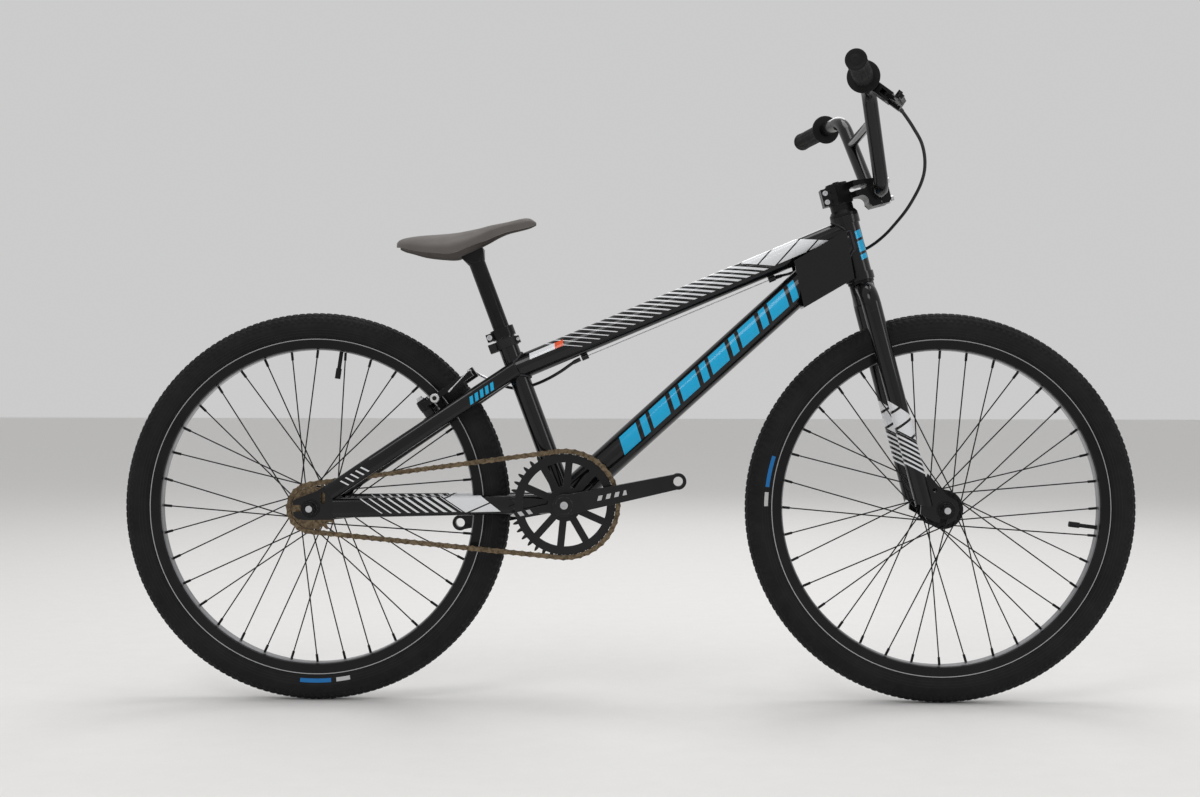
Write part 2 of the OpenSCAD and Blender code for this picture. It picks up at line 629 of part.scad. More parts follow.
// ---- fork and steering ----
fork_plate_t = 6;
leg_low_y = front_old / 2 + 3;
leg_top_y = 45;
leg_top_t = 318;
crown_arc = 26;
module fork_leg_right() color(black) {
    difference() {
        steer() along([0.5, -leg_low_y, 12], [0.5, -leg_top_y, leg_top_t])
            cylinder(d1 = leg_tip_d, d2 = leg_d, h = norm([0, leg_low_y - leg_top_y, leg_top_t - 12]));
        steer() along([0.5, -leg_low_y, 10], [0.5, -leg_top_y, leg_top_t])
            cylinder(d1 = leg_tip_d - 5, d2 = leg_d - 5, h = norm([0, leg_low_y - leg_top_y, leg_top_t - 8]));
        steer() translate([-20, -70, 0]) rotate([0, 25, 0]) cube([60, 40, 22], center = false);
    }
    fork_plate();
}
module fork_plate_outline() {
    polygon([[-27, 55], [-14, 40], [2, 22], [17, 13], [20, 0], [15, -14], [0, -22], [-20, -16], [-38, -6], [-36, 30]]);
}
module fork_plate() {
    translate(front) plate_xz(-front_old / 2 - fork_plate_t, fork_plate_t) difference() {
        fork_plate_outline();
        circle(d = axle_d + 0.5);
        rotate(head_angle - 90) translate([-axle_d / 2 - 0.15, -40]) square([axle_d + 0.3, 40]);
        translate([-16.8, 30.5]) circle(r = 3.6);
    }
}
module fork_leg_left() mirror([0, 1, 0]) fork_leg_right();

crown_top = fork_len;
module fork_crown() color(black) steer() difference() {
    union() {
        difference() {
            union() {
                for (s = [-1, 1]) {
                    low = [0.5, s * leg_top_y, leg_top_t];
                    splay = unit([0, s * (leg_low_y - leg_top_y), 12 - leg_top_t]);
                    bent_rod([low, low - splay * 26, [0.5, s * 8, leg_top_t + 40]], [0, crown_arc, 0], leg_d / 2);
                }
                translate([0, 0, leg_top_t + 14]) cylinder(r = 19, h = crown_top - leg_top_t - 10);
            }
            translate([-40, -60, crown_top]) cube([80, 120, 30]);
        }
        translate([0, 0, crown_top - 2]) cylinder(d = steerer_d, h = stem_t0 + stem_h - 1 - crown_top);
    }
    translate([0, 0, crown_top - 40]) cylinder(d = steerer_d - 5, h = 300);
}
module headset_rings() color(black) steer() {
    translate([0, 0, crown_top]) ring(cup_d / 2 - 2, steerer_d / 2 + 0.02, head_t0 - gap - crown_top);
    translate([0, 0, head_t1 + gap]) difference() {
        union() {
            cylinder(d = cup_d - 1, h = 4);
            translate([0, 0, 4]) cylinder(r1 = cup_d / 2 - 0.5, r2 = 18.5, h = 5);
        }
        translate([0, 0, -1]) cylinder(r = steerer_d / 2 + 0.02, h = 12);
    }
    for (k = [0, 1]) translate([0, 0, head_t1 + 9 + gap + k * (spacer_h + 0.02)])
        ring(17.5, steerer_d / 2 + 0.02, spacer_h - 0.02);
}
spacer_h = (stem_t0 - head_t1 - 9 - gap) / 2;

stem_w = 50;
module stem_profile() difference() {
    union() {
        translate([-18, 0]) square([36, stem_h]);
        polygon([[17, 4], [30, 3], [stem_reach - 15, -17], [stem_reach, -17], [stem_reach, 21],
            [stem_reach - 4, 25], [17, stem_h]]);
    }
    translate([20, 13]) square([18, 7]);
    for (x = [20, 38]) translate([x, 16.5]) circle(r = 3.5);
    translate([29, -6]) circle(r = 10);
}
faceplate_gap = 1;
bolt_y = 19;
module stem_bolt_axes() for (y = [-bolt_y, bolt_y]) for (t = [-14, 14])
    translate([stem_reach + 15.5, y, bar_t + t]) rotate([0, 90, 0]) children();
module stem() color(black) steer() difference() {
    union() {
        intersection() {
            translate([0, 0, stem_t0]) plate_xz(-stem_w / 2, stem_w) stem_profile();
            union() {
                translate([0, 0, stem_t0 - 1]) cylinder(r = 19, h = stem_h + 2);
                translate([8, -stem_w / 2, stem_t0 - 30]) cube([80, stem_w, 80]);
            }
        }
        translate([-27, -13, stem_t0 + 1]) cube([20, 26, stem_h - 3]);
    }
    translate([0, 0, stem_t0 - 5]) cylinder(r = steerer_d / 2 + 0.02, h = stem_h + 10);
    translate([-40, -1.2, stem_t0 - 2]) cube([30, 2.4, stem_h + 4]);
    translate([stem_reach, 40, bar_t]) rotate([90, 0, 0]) cylinder(r = bar_r + 0.02, h = 80);
    for (y = [-1, 1]) translate([-4, y * 29 - 10, stem_t0 - 40]) rotate([0, 0, -y * 20]) cube([30, 20, 90]);
    stem_bolt_axes() translate([0, 0, -40]) cylinder(r = 2.6, h = 50);
    for (t = [7, 21]) translate([-21.5, 20, stem_t0 + t]) rotate([90, 0, 0]) cylinder(r = 2.6, h = 40);
}
module stem_faceplate() color(black) steer() difference() {
    translate([stem_reach + faceplate_gap, -stem_w / 2, bar_t - 19]) cube([14.5, stem_w, 38]);
    translate([stem_reach, 40, bar_t]) rotate([90, 0, 0]) cylinder(r = bar_r + 0.02, h = 80);
    translate([stem_reach + 18, 0, bar_t]) rotate([90, 0, 0]) translate([0, 0, -12]) cylinder(r = 8, h = 24);
    stem_bolt_axes() translate([0, 0, -40]) cylinder(r = 2.6, h = 50);
    for (s = [-1, 1]) translate([stem_reach + 15.5, -30, bar_t + s * 19]) rotate([0, 45, 0])
        translate([-3, 0, -3]) cube([6, 60, 6]);
}
module stem_bolts() color(steel) steer() {
    stem_bolt_axes() bolt(4.3, 4, 2.5, 28);
    for (t = [7, 21]) translate([-21.5, -13, stem_t0 + t]) rotate([90, 0, 0]) bolt(4, 4, 2.5, 24);
}
module steerer_cap() color(black) steer() {
    translate([0, 0, stem_t0 + stem_h]) cylinder(r = 16.5, h = 2.4);
    translate([0, 0, stem_t0 + stem_h - 34]) cylinder(r = 3, h = 34.5);
    translate([0, 0, stem_t0 + stem_h - 34]) cylinder(r = steerer_d / 2 - 2.5 - 0.02, h = 4);
    translate([0, 0, stem_t0 + stem_h + 2.3]) difference() {
        cylinder(r = 5, h = 2.5);
        translate([0, 0, 1]) hex(5, 3);
    }
}

// Handlebar in the steering frame: x ahead of the steering axis, y left, z along it
bar_bottom_y = 52;
bar_bend_y = 152;
grip_dir = unit([-tan(backsweep), 1, tan(upsweep)]);
bar_corner = [stem_reach, bar_bend_y, bar_t + bar_rise];
bar_end = bar_corner + grip_dir * ((bar_width / 2 - bar_bend_y - 2) / grip_dir[1]);
bar_pts = [mirror_y(bar_end), mirror_y(bar_corner), [stem_reach, -bar_bottom_y, bar_t],
    [stem_reach, bar_bottom_y, bar_t], bar_corner, bar_end];
bar_radii = [0, 52, 40, 40, 52, 0];
brace_t = 96;        // height of the crossbar above the clamp
brace_y = bar_bottom_y + (bar_bend_y - bar_bottom_y) * brace_t / bar_rise;
brace_r = 7.2;
module handlebar() color(black) steer() difference() {
    union() {
        bent_rod(bar_pts, bar_radii, bar_r);
        rod([stem_reach, -brace_y, bar_t + brace_t], [stem_reach, brace_y, bar_t + brace_t], brace_r);
    }
    bent_rod(bar_pts, bar_radii, bar_r - wall);
}
grip_from = bar_end - grip_dir * (grip_len - 3);
module grip() steer() {
    difference() {
        union() {
            rod(grip_from, bar_end + grip_dir * 3, 14.3);
            rod(grip_from, grip_from + grip_dir * 4, grip_flange_d / 2);
            rod(bar_end - grip_dir * 2, bar_end + grip_dir * 3, 15);
        }
        rod(grip_from - grip_dir * 5, bar_end, bar_r + 0.02);
    }
}
module grip_left() color(rubber) grip();
module grip_right() color(rubber) mirror([0, 1, 0]) grip();

// Brake lever, built on the left side and mirrored to the right:
// local x runs outboard along the bar, y is the pivot axis, z points away from the bar
lever_seat = grip_from - grip_dir * 24;
lever_x = steer_vec(grip_dir);
function steer_vec(v) = [v[0] * sin(head_angle) - v[2] * cos(head_angle), v[1], v[0] * cos(head_angle) + v[2] * sin(head_angle)];
drop_vec = [cos(lever_drop), 0, -sin(lever_drop)];
lever_z = unit(drop_vec - (drop_vec * lever_x) * lever_x);
lever_y = cross(lever_z, lever_x);
lever_o = steer_pt(lever_seat[0], lever_seat[1], lever_seat[2]);
module lever_frame() mirror([0, 1, 0]) multmatrix([
    [lever_x[0], lever_y[0], lever_z[0], lever_o[0]],
    [lever_x[1], lever_y[1], lever_z[1], lever_o[1]],
    [lever_x[2], lever_y[2], lever_z[2], lever_o[2]]]) children();
lever_pivot = [9, 0, 40];
lever_t = 6;
module lever_perch() color(black) lever_frame() difference() {
    union() {
        translate([-7, 0, 0]) rotate([0, 90, 0]) cylinder(r = bar_r + 4, h = 14);
        translate([-7, -6.5, 8]) cube([14, 13, 12]);
        translate([-20, -7.5, 18]) cube([36, 15, 28]);
        translate([-20, -6.5, 40]) cube([12, 13, 23]);
        translate([-6, -6, -20]) cube([12, 12, 10]);
    }
    translate([-20, 0, 0]) rotate([0, 90, 0]) cylinder(r = bar_r + 0.02, h = 40);
    translate([-3, -1, -24]) cube([6, 2, 14]);
    translate([-8, -lever_t / 2 - gap, 29]) cube([60, lever_t + 2 * gap, 40]);
    translate([-21, 0, barrel_z]) rotate([0, 90, 0]) cylinder(r = 1.2, h = 20);
    translate([lever_pivot[0], -10, lever_pivot[2]]) rotate([-90, 0, 0]) cylinder(r = 2.5, h = 20);
}
blade = [[0, 0], [18, 15], [38, 27], [60, 31], [82, 29], [102, 30]];
module brake_lever() color(black) lever_frame() {
    translate([lever_pivot[0], 0, lever_pivot[2]]) rotate([90, 0, 0]) translate([0, 0, -lever_t / 2]) {
        linear_extrude(lever_t) {
            difference() {
                union() {
                    circle(r = 6.5);
                    for (i = [0 : len(blade) - 2]) polygon([
                        blade[i] + [0, -blade_half(i)], blade[i + 1] + [0, -blade_half(i + 1)],
                        blade[i + 1] + [0, blade_half(i + 1)], blade[i] + [0, blade_half(i)]]);
                    for (i = [1 : len(blade) - 1]) translate(blade[i]) circle(r = blade_half(i));
                    polygon([[-5, 0], [-4, 21], [4, 21], [6, 2]]);
                }
                circle(r = 2.5 + fit);
            }
        }
    }
    translate([lever_pivot[0], 0, lever_pivot[2]]) rotate([90, 0, 0]) translate([38, 27, -5.5])
        linear_extrude(11) polygon([[0, -4.5], [22, -3], [44, -5], [64, -3], [64, 3.4], [44, 1.5], [22, 3.2], [0, 4]]);
}
function blade_half(i) = i == 0 ? 6 : i == len(blade) - 1 ? 5 : 4.2;
barrel_z = 57;      // distance of the cable from the handlebar's axis
module barrel_adjuster() color(black) lever_frame() translate([-20.1, 0, barrel_z]) rotate([0, -90, 0]) difference() {
    union() {
        cylinder(r = 3.2, h = 12);
        cylinder(r = 5.5, h = 7);
    }
    translate([0, 0, -1]) cylinder(r = 1.2, h = 20);
}

// ---- cables ----
front_route = [[388, -181, 883], [395, -171, 878], [404, -162, 869], [414, -151, 858], [427, -137, 841], [435, -120, 823],
    [438, -103, 804], [436, -85, 787], [430, -65, 770], [421, -44, 752], [410, -20, 736], [396, 5, 719],
    [376, 24, 703], [347, 34, 689], [314, 36, 679], [284, 35, 671], [264, 34, 666],
    [251, 27, 661], [240, 12, 657.5], [229, 0, 653.5]];
module front_housing() color(rubber) cord(front_route, 2.5, 2);
rear_route = [[-73, 0, 527], [-85, 2, 521], [-104, 9, 508], [-128, 22, 495], [-152, 36, 486], [-176, 47, 482],
    [-197, 54, 486], [-211, 57, 491.5]];
module rear_housing() color(rubber) cord(rear_route, 2.5, 2);
module brake_wire() color(steel) rod(stop_rear - 5 * top_dir, stop_front + 5 * top_dir, 0.8);

// ---- drivetrain ----
chain_w = 3.2;
module toothed(n, r) polygon([for (i = [0 : n - 1]) for (p = [[-2.9, r - 4.4], [-2.1, r], [-0.8, r + 3.2],
    [0.8, r + 3.2], [2.1, r], [2.9, r - 4.4]]) let (a = 360 / n * i)
    [p[1] * cos(a) - p[0] * sin(a), p[1] * sin(a) + p[0] * cos(a)]]);
chain_turn = asin((ring_r - cog_r) / centres);
chain_tilt = atan2(bb_rise, bb[0] - rear[0]);
span = sqrt(centres * centres - pow(ring_r - cog_r, 2)) / pitch;
ring_wrap = (180 + 2 * chain_turn) / 360 * ring_teeth;
cog_wrap = (180 - 2 * chain_turn) / 360 * cog_teeth;
top_angle = 90 + chain_tilt + chain_turn;
// Position of roller s, counted in links from the chainring's upper tangent point, clockwise
function chain_pt(s) =
    s < ring_wrap ? let (a = top_angle - s * 360 / ring_teeth) [bb[0] + ring_r * cos(a), bb[2] + ring_r * sin(a)]
    : s < ring_wrap + span ? let (k = (s - ring_wrap) / span) (1 - k) * low_ring + k * low_cog
    : s < ring_wrap + span + cog_wrap ? let (a = 2 * chain_tilt - top_angle - (s - ring_wrap - span) * 360 / cog_teeth)
        [rear[0] + cog_r * cos(a), rear[2] + cog_r * sin(a)]
    : let (k = min(1, (s - ring_wrap - span - cog_wrap) / (chain_links - ring_wrap - span - cog_wrap))) (1 - k) * up_cog + k * up_ring;
low_angle = 2 * chain_tilt - top_angle;
low_ring = [bb[0] + ring_r * cos(low_angle), bb[2] + ring_r * sin(low_angle)];
low_cog = [rear[0] + cog_r * cos(low_angle), rear[2] + cog_r * sin(low_angle)];
up_cog = [rear[0] + cog_r * cos(top_angle), rear[2] + cog_r * sin(top_angle)];
up_ring = [bb[0] + ring_r * cos(top_angle), bb[2] + ring_r * sin(top_angle)];
cog_first = ceil(ring_wrap + span) - ring_wrap - span;
ring_phase = top_angle + 180 / ring_teeth;
cog_phase = low_angle - cog_first * 360 / cog_teeth + 180 / cog_teeth;
// Side plate of one link, a dog-bone outline between two rollers
function plate_outline(a, b, r) = let (d = unit(b - a), n = [-d[1], d[0]], m = (a + b) / 2)
    concat([for (q = [60 : 30 : 300]) a + r * (cos(q) * d + sin(q) * n)], [m - n * r * 0.72],
        [for (q = [-120 : 30 : 120]) b + r * (cos(q) * d + sin(q) * n)], [m + n * r * 0.72]);
plate_t = 0.95;
roller_half = 1.75;
module chain() color(bronze) for (i = [0 : chain_links - 1]) {
    a = chain_pt(i);
    b = chain_pt((i + 1) % chain_links);
    out = i % 2 == 0 ? roller_half + 0.1 : roller_half + plate_t + 0.2;
    for (s = [-1, 1]) plate_xz(-chainline + (s > 0 ? out : -out - plate_t), plate_t) polygon(plate_outline(a, b, 4.2));
    translate([a[0], -chainline + roller_half, a[1]]) rotate([90, 0, 0]) cylinder(r = 3.85, h = 2 * roller_half);
}
ring_arms = 10;
module chainring() color(black) translate(bb + [0, -chainline + chain_w / 2, 0]) rotate([90, 0, 0]) {
    linear_extrude(chain_w) difference() {
        union() {
            difference() {
                rotate(ring_phase) toothed(ring_teeth, ring_r);
                circle(r = ring_r - 17.2, $fn = 96);
            }
            for (i = [0 : ring_arms - 1]) rotate(crank_angle + i * 360 / ring_arms)
                translate([15, -5.5]) square([ring_r - 28, 11]);
            circle(r = 26);
        }
        circle(r = spindle_d / 2 + 3);
        rotate(crank_angle) translate([21.5, 0]) circle(r = 3.2);
    }
}
cog_bore_r = 17.1;
module freewheel() color(bronze) translate(rear + [0, -chainline + chain_w / 2, 0]) rotate([90, 0, 0]) {
    difference() {
        union() {
            linear_extrude(chain_w) rotate(cog_phase) toothed(cog_teeth, cog_r);
            translate([0, 0, -7]) cylinder(r = cog_r - 7.5, h = chain_w + 10);
        }
        translate([0, 0, -20]) cylinder(r = cog_bore_r + fit, h = 60);
    }
}
arm_out = 74;        // outer face of the crank boss from the middle plane
module crank_spindle() color(steel) translate(bb + [0, arm_out - 5, 0]) rotate([90, 0, 0])
    cylinder(d = spindle_d, h = 2 * arm_out - 10);
// Crank arm in its own plane: x along the arm, y across it, z outboard
boss_r = 17;
tip_r = 12.4;
module crank_blank() {
    circle(r = boss_r);
    translate([crank_len, 0]) circle(r = tip_r);
    polygon([[0, 15], [crank_len, tip_r - 0.9], [crank_len, -tip_r + 0.9], [0, -15]]);
}
module crank_arm(inner) difference() {
    union() {
        intersection() {
            translate([0, 0, 30]) linear_extrude(60) crank_blank();
            rotate([90, 0, 0]) linear_extrude(80, center = true) polygon([
                [-20, inner], [19, inner], [24, 55.5], [crank_len - 30, 66], [crank_len + 20, 66],
                [crank_len + 20, 80], [crank_len - 40, 79], [30, arm_out], [-20, arm_out]]);
        }
        translate([0, 0, arm_out - 3]) cylinder(r = boss_r - 4, h = 3.6);
    }
    cylinder(d = spindle_d, h = arm_out - 5);
    translate([0, 0, arm_out - 6]) cylinder(r = 6, h = 10);
    translate([crank_len, 0, 0]) cylinder(r = pedal_r, h = 100);
}
module crank_bolt() { translate([0, 0, arm_out - 4.9]) difference() {
    cylinder(r = 5.9, h = 4.5);
    translate([0, 0, 2]) hex(6, 3);
} }
module crank_bolts() color(steel) { crank_side() crank_bolt(); crank_side() mirror([0, 0, 1]) crank_bolt(); }
module crank_side() { translate(bb) rotate([90, 0, 0]) children(); }
module crank_right() color(black) crank_side() rotate([0, 0, crank_angle]) {
    crank_arm(chainline + chain_w / 2 + 0.02);
    translate([21.5, 0, chainline - chain_w / 2]) cylinder(r = 3.15, h = 9);
}
module crank_left() color(black) crank_side() rotate([180, 0, crank_angle + 180]) crank_arm(shell_w / 2 + 6);

// ---- rear brake ----
pad_r = 249;
pad_h = 26;
pad_face = rim_w / 2 + pad_gap;
arm_mid = (arm_h0 + arm_h1) / 2;
module arm_outline() {
    polygon([[pivot_along - 2, -boss_y - 8], [pivot_along + 14, -boss_y - 10], [pad_r + 6, -boss_y - 9],
        [pivot_along + 55, -boss_y - 5], [pivot_along + brake_arm_len + 5, -boss_y - 3],
        [pivot_along + brake_arm_len + 5, -boss_y + 6], [pivot_along + 55, -boss_y + 4],
        [pad_r + 6, -boss_y + 2], [pivot_along + 10, -boss_y + 7], [pivot_along - 2, -boss_y + 8]]);
    translate([pivot_along, -boss_y]) circle(r = 9);
}
module brake_arm() stay() difference() {
    union() {
        translate([0, 0, arm_mid - 4.5]) linear_extrude(9) arm_outline();
        translate([pivot_along, -boss_y, arm_h0]) cylinder(r = 8.5, h = arm_h1 - arm_h0);
    }
    translate([pivot_along, -boss_y, 0]) cylinder(r = stud_r + fit, h = 80);
    translate([pad_r, 0, pad_h + 4]) rotate([90, 0, 0]) cylinder(r = 3.2, h = 80);
}
module brake_arm_right() color(black) {
    brake_arm();
    stay() translate([pivot_along + brake_arm_len, -boss_y - 3, arm_mid]) rotate([90, 0, 0]) bolt(4.5, 4, 2, 1);
}
module brake_arm_left() color(black) {
    mirror([0, 1, 0]) brake_arm();
    stay() translate([pivot_along + brake_arm_len, boss_y - 6, arm_mid + 4.5]) difference() {
        translate([-5, -3, 0]) cube([10, 14, 8]);
        translate([0, -5, 4]) rotate([-90, 0, 0]) cylinder(r = 2.3, h = 30);
    }
}
module brake_pad() stay() {
    translate([pad_r - 5, -pad_face - 9, -2]) cube([8.5, 9, 52]);
    translate([pad_r, -pad_face - 8, pad_h + 4]) rotate([90, 0, 0]) cylinder(r = 3, h = boss_y + 17 - pad_face - 8);
    translate([pad_r, -boss_y + 6.1, pad_h + 4]) rotate([-90, 0, 0]) cylinder(r = 7, h = 2.6);
    translate([pad_r, -boss_y - 10.4, pad_h + 4]) rotate([90, 0, 0]) {
        cylinder(r = 6.8, h = 2);
        translate([0, 0, 2]) hex(9, 4);
    }
}
module brake_pad_right() color(rubber) brake_pad();
module brake_pad_left() color(rubber) mirror([0, 1, 0]) brake_pad();
module brake_pivot_bolts() color(steel) both_sides() stay() translate([pivot_along, -boss_y, arm_h1 + gap]) {
    cylinder(r = 6.5, h = 1.5);
    translate([0, 0, 1.4]) bolt(4.6, 4, 2.5, 12);
}
noodle_pts = [stay_pt(pivot_along + brake_arm_len, 8, arm_mid + 8.5), stay_pt(pivot_along + brake_arm_len, 60, arm_mid + 8.5),
    [-213, 57, 492.4]];
module noodle() color(steel) bent_rod(noodle_pts, [0, 14, 0], 2.2);

head_tube();
top_tube();
down_tube();
seat_tube();
bottom_bracket_shell();
chainstays();
seatstays();
rear_dropouts();
braze_ons();
headset_bearings();
bottom_bracket_bearings();
seat_clamp();
seat_clamp_bolts();
reflector_bracket();
rear_axle();
rear_axle_nuts();
brake_pivot_bolts();
brake_wire();
rear_housing();
chain();
seatpost();
saddle();
fork_crown();
fork_leg_left();
fork_leg_right();
headset_rings();
stem();
stem_faceplate();
stem_bolts();
steerer_cap();
handlebar();
grip_left();
grip_right();
lever_perch();
barrel_adjuster();
front_housing();
front_axle();
front_axle_nuts();
brake_lever();
front_hub();
front_spokes();
front_rim();
front_tyre();
front_tube_valve();
rear_hub();
rear_spokes();
rear_rim();
rear_tyre();
rear_tube_valve();
freewheel();
crank_spindle();
crank_right();
crank_left();
chainring();
crank_bolts();
brake_arm_left();
brake_arm_right();
brake_pad_left();
brake_pad_right();
noodle();
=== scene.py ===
import math

import bpy
import numpy as np
from mathutils import Matrix, Vector


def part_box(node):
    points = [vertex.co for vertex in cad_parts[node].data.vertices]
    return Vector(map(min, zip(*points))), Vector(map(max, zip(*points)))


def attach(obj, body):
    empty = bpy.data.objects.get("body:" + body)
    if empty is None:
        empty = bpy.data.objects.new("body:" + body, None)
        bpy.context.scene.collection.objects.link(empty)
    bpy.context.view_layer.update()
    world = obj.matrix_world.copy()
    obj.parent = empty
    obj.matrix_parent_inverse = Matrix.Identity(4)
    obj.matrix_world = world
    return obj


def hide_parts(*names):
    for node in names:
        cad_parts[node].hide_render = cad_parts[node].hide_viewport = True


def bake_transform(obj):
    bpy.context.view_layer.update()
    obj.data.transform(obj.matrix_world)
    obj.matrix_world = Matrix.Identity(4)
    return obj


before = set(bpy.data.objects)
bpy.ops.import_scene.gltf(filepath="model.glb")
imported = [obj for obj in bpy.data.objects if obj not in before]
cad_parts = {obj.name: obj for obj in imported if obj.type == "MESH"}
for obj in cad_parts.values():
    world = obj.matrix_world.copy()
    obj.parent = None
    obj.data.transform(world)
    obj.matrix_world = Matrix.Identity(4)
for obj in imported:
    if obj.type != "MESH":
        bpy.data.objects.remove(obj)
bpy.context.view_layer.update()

bl_info = {
    "name": "BMX race cruiser",
    "version": (1, 0, 0),
    "blender": (4, 5, 0),
    "location": "View3D > Sidebar > BMX",
    "description": "Tyres, grips, saddle, cables, weld beads, finishes and a studio for the BMX bike",
    "category": "Object",
}

MM = 0.001


def unit(v):
    """v divided by its length."""
    v = np.asarray(v, float)
    return v / np.linalg.norm(v)


def node_box(name):
    """The lowest and highest corners of a frame node, in millimetres."""
    low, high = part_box(name)
    return np.array(low) / MM, np.array(high) / MM


def middle(name):
    """The middle of a frame node's box, in millimetres."""
    low, high = node_box(name)
    return (low + high) / 2


# ---- where the tubes run, in millimetres ----
FRONT_AXLE = middle("front_tyre")
REAR_AXLE = middle("rear_tyre")
BRACKET = middle("bottom_bracket_shell")
SHELL_R = np.subtract(*node_box("bottom_bracket_shell")[::-1])[0] / 2
STEER_FOOT = np.array([450.46, 0.0, 291.49])
STEER_DIR = np.array([-0.25038, 0.0, 0.96815])
TOP_REAR = np.array([-171.82, 0.0, 511.57])
TOP_FRONT = np.array([338.34, 0.0, 725.03])
DOWN_REAR = np.array([-94.77, 0.0, 310.5])
DOWN_FRONT = np.array([342.6, 0.0, 708.6])
SEAT_DIR = np.array([-math.cos(math.radians(69.5)), 0.0, math.sin(math.radians(69.5))])
STAY_DIR = np.array([0.82824, 0.0, 0.56038])
CRANK_DIR = np.array([math.cos(math.radians(12.2)), 0.0, math.sin(math.radians(12.2))])
GRIP_FROM = np.array([330.91, 229.39, 917.68])
GRIP_TO = np.array([304.01, 353.5, 916.32])
POST_TOP = np.array([-237.66, 0.0, 687.66])
TOP_TUBE_R, DOWN_TUBE_R, SEAT_TUBE_R, HEAD_TUBE_R = 19.0, 24.0, 15.5, 20.0
GRIP_BORE_R, GRIP_BARREL_R, GRIP_RINGS = 11.15, 14.3, 230
TYRE_BEAD_R, TYRE_WALL = 259.6, 3.4
# A brake pad's stud: how far up the seatstay, how far behind it, and how far out its nut's seat lies
PAD_ALONG, PAD_BEHIND, PAD_OUT = 249, 33.64, 52.2
FRONT_ROUTE = [[388, -181, 883], [395, -171, 878], [404, -162, 869], [414, -151, 858], [427, -137, 841],
               [435, -120, 823], [438, -103, 804], [436, -85, 787], [430, -65, 770], [421, -44, 752],
               [410, -20, 736], [396, 5, 719], [376, 24, 703], [347, 34, 689], [314, 36, 679],
               [284, 35, 671], [264, 34, 666], [251, 27, 661], [240, 12, 657.5], [229, 0, 653.5]]
REAR_ROUTE = [[-73, 0, 527], [-85, 2, 521], [-104, 9, 508], [-128, 22, 495], [-152, 36, 486],
              [-176, 47, 482], [-197, 54, 486], [-211, 57, 491.5]]
TAIL_ROUTE = [[-246, 22, 508.9], [-246, 0, 508.9], [-246, -30, 507.5], [-245, -45, 505],
              [-249, -51, 500], [-258, -53.5, 490], [-266, -54, 481.5], [-271, -54, 476]]
# Saddle stations: ahead of the clamp, half width, height of the ridge, of the widest edge and of the lip
SADDLE_ROWS = [[-117, 22, 20, 14, 10], [-112, 42, 23, 12, 8], [-102, 57, 26, 10, 6], [-81, 70, 29, 7, 1],
               [-55, 72, 31, 5, -2], [-33, 68, 33, 5, -3], [-19, 60, 35, 9, 1], [-5, 50, 38, 15, 8],
               [9, 40, 41, 23, 15], [23, 30, 45, 32, 21], [37, 24, 48, 38, 28], [52, 20, 51, 43, 34],
               [73, 17, 56, 47, 39], [85, 14, 57, 49, 42], [93, 9, 53, 48, 45], [96, 3, 50, 48, 46]]


# ---- surfaces ----
def mesh_from(name, points, faces, sharp_deg=35.0):
    """A mesh object in metres from points in millimetres. Its faces are turned outwards by the sign of
    the volume they enclose, and edges sharper than sharp_deg stay sharp."""
    points = np.asarray(points, float)
    volume = 0.0
    for group in faces:
        for k in range(1, group.shape[1] - 1):
            a, b, c = points[group[:, 0]], points[group[:, k]], points[group[:, k + 1]]
            volume += np.einsum("ij,ij->", a, np.cross(b, c))
    rows = [row for group in faces for row in (group if volume > 0 else group[:, ::-1]).tolist()]
    mesh = bpy.data.meshes.new(name)
    mesh.from_pydata((points * MM).tolist(), [], rows)
    mesh.validate()
    mesh.shade_smooth()
    mesh.set_sharp_from_angle(angle=math.radians(sharp_deg))
    obj = bpy.data.objects.new(name, mesh)
    bpy.context.scene.collection.objects.link(obj)
    return obj


def grid_faces(nu, nv, loop_u, loop_v):
    """The quads of a grid of nu by nv points, joined round where loop_u or loop_v says so."""
    u = np.arange(nu if loop_u else nu - 1)[:, None]
    v = np.arange(nv if loop_v else nv - 1)[None, :]
    nu1, nv1 = (u + 1) % nu, (v + 1) % nv
    corners = [u * nv + v, nu1 * nv + v, nu1 * nv + nv1, u * nv + nv1]
    return np.stack([c.ravel() for c in corners], 1)


def smooth_path(points, steps):
    """A curve through the points: each span is the cubic that leaves a point along the line between
    its two neighbours (Catmull and Rom's rule), cut into equal steps."""
    p = np.asarray(points, float)
    p = np.vstack([p[:1], p, p[-1:]])
    u = np.linspace(0, 1, steps, endpoint=False)[None, :, None]
    a, b, c, d = (p[k:len(p) - 3 + k][:, None, :] for k in range(4))
    spans = 0.5 * (2 * b + (c - a) * u + (2 * a - 5 * b + 4 * c - d) * u ** 2
                   + (3 * b - a - 3 * c + d) * u ** 3)
    return np.vstack([spans.reshape(-1, p.shape[1]), p[-1:]])


def across(path, closed=False):
    """Two unit vectors across a path at each point: the first is level, at right angles to the path and
    to a fixed direction that the path never follows, and the second completes them."""
    if closed:
        t = np.roll(path, -1, 0) - np.roll(path, 1, 0)
    else:
        t = np.gradient(path, axis=0)
    t /= np.linalg.norm(t, axis=1)[:, None]
    fixed = np.eye(3)[np.argmin(np.abs(t).max(0))]
    e1 = np.cross(t, fixed)
    e1 /= np.linalg.norm(e1, axis=1)[:, None]
    return e1, np.cross(t, e1)


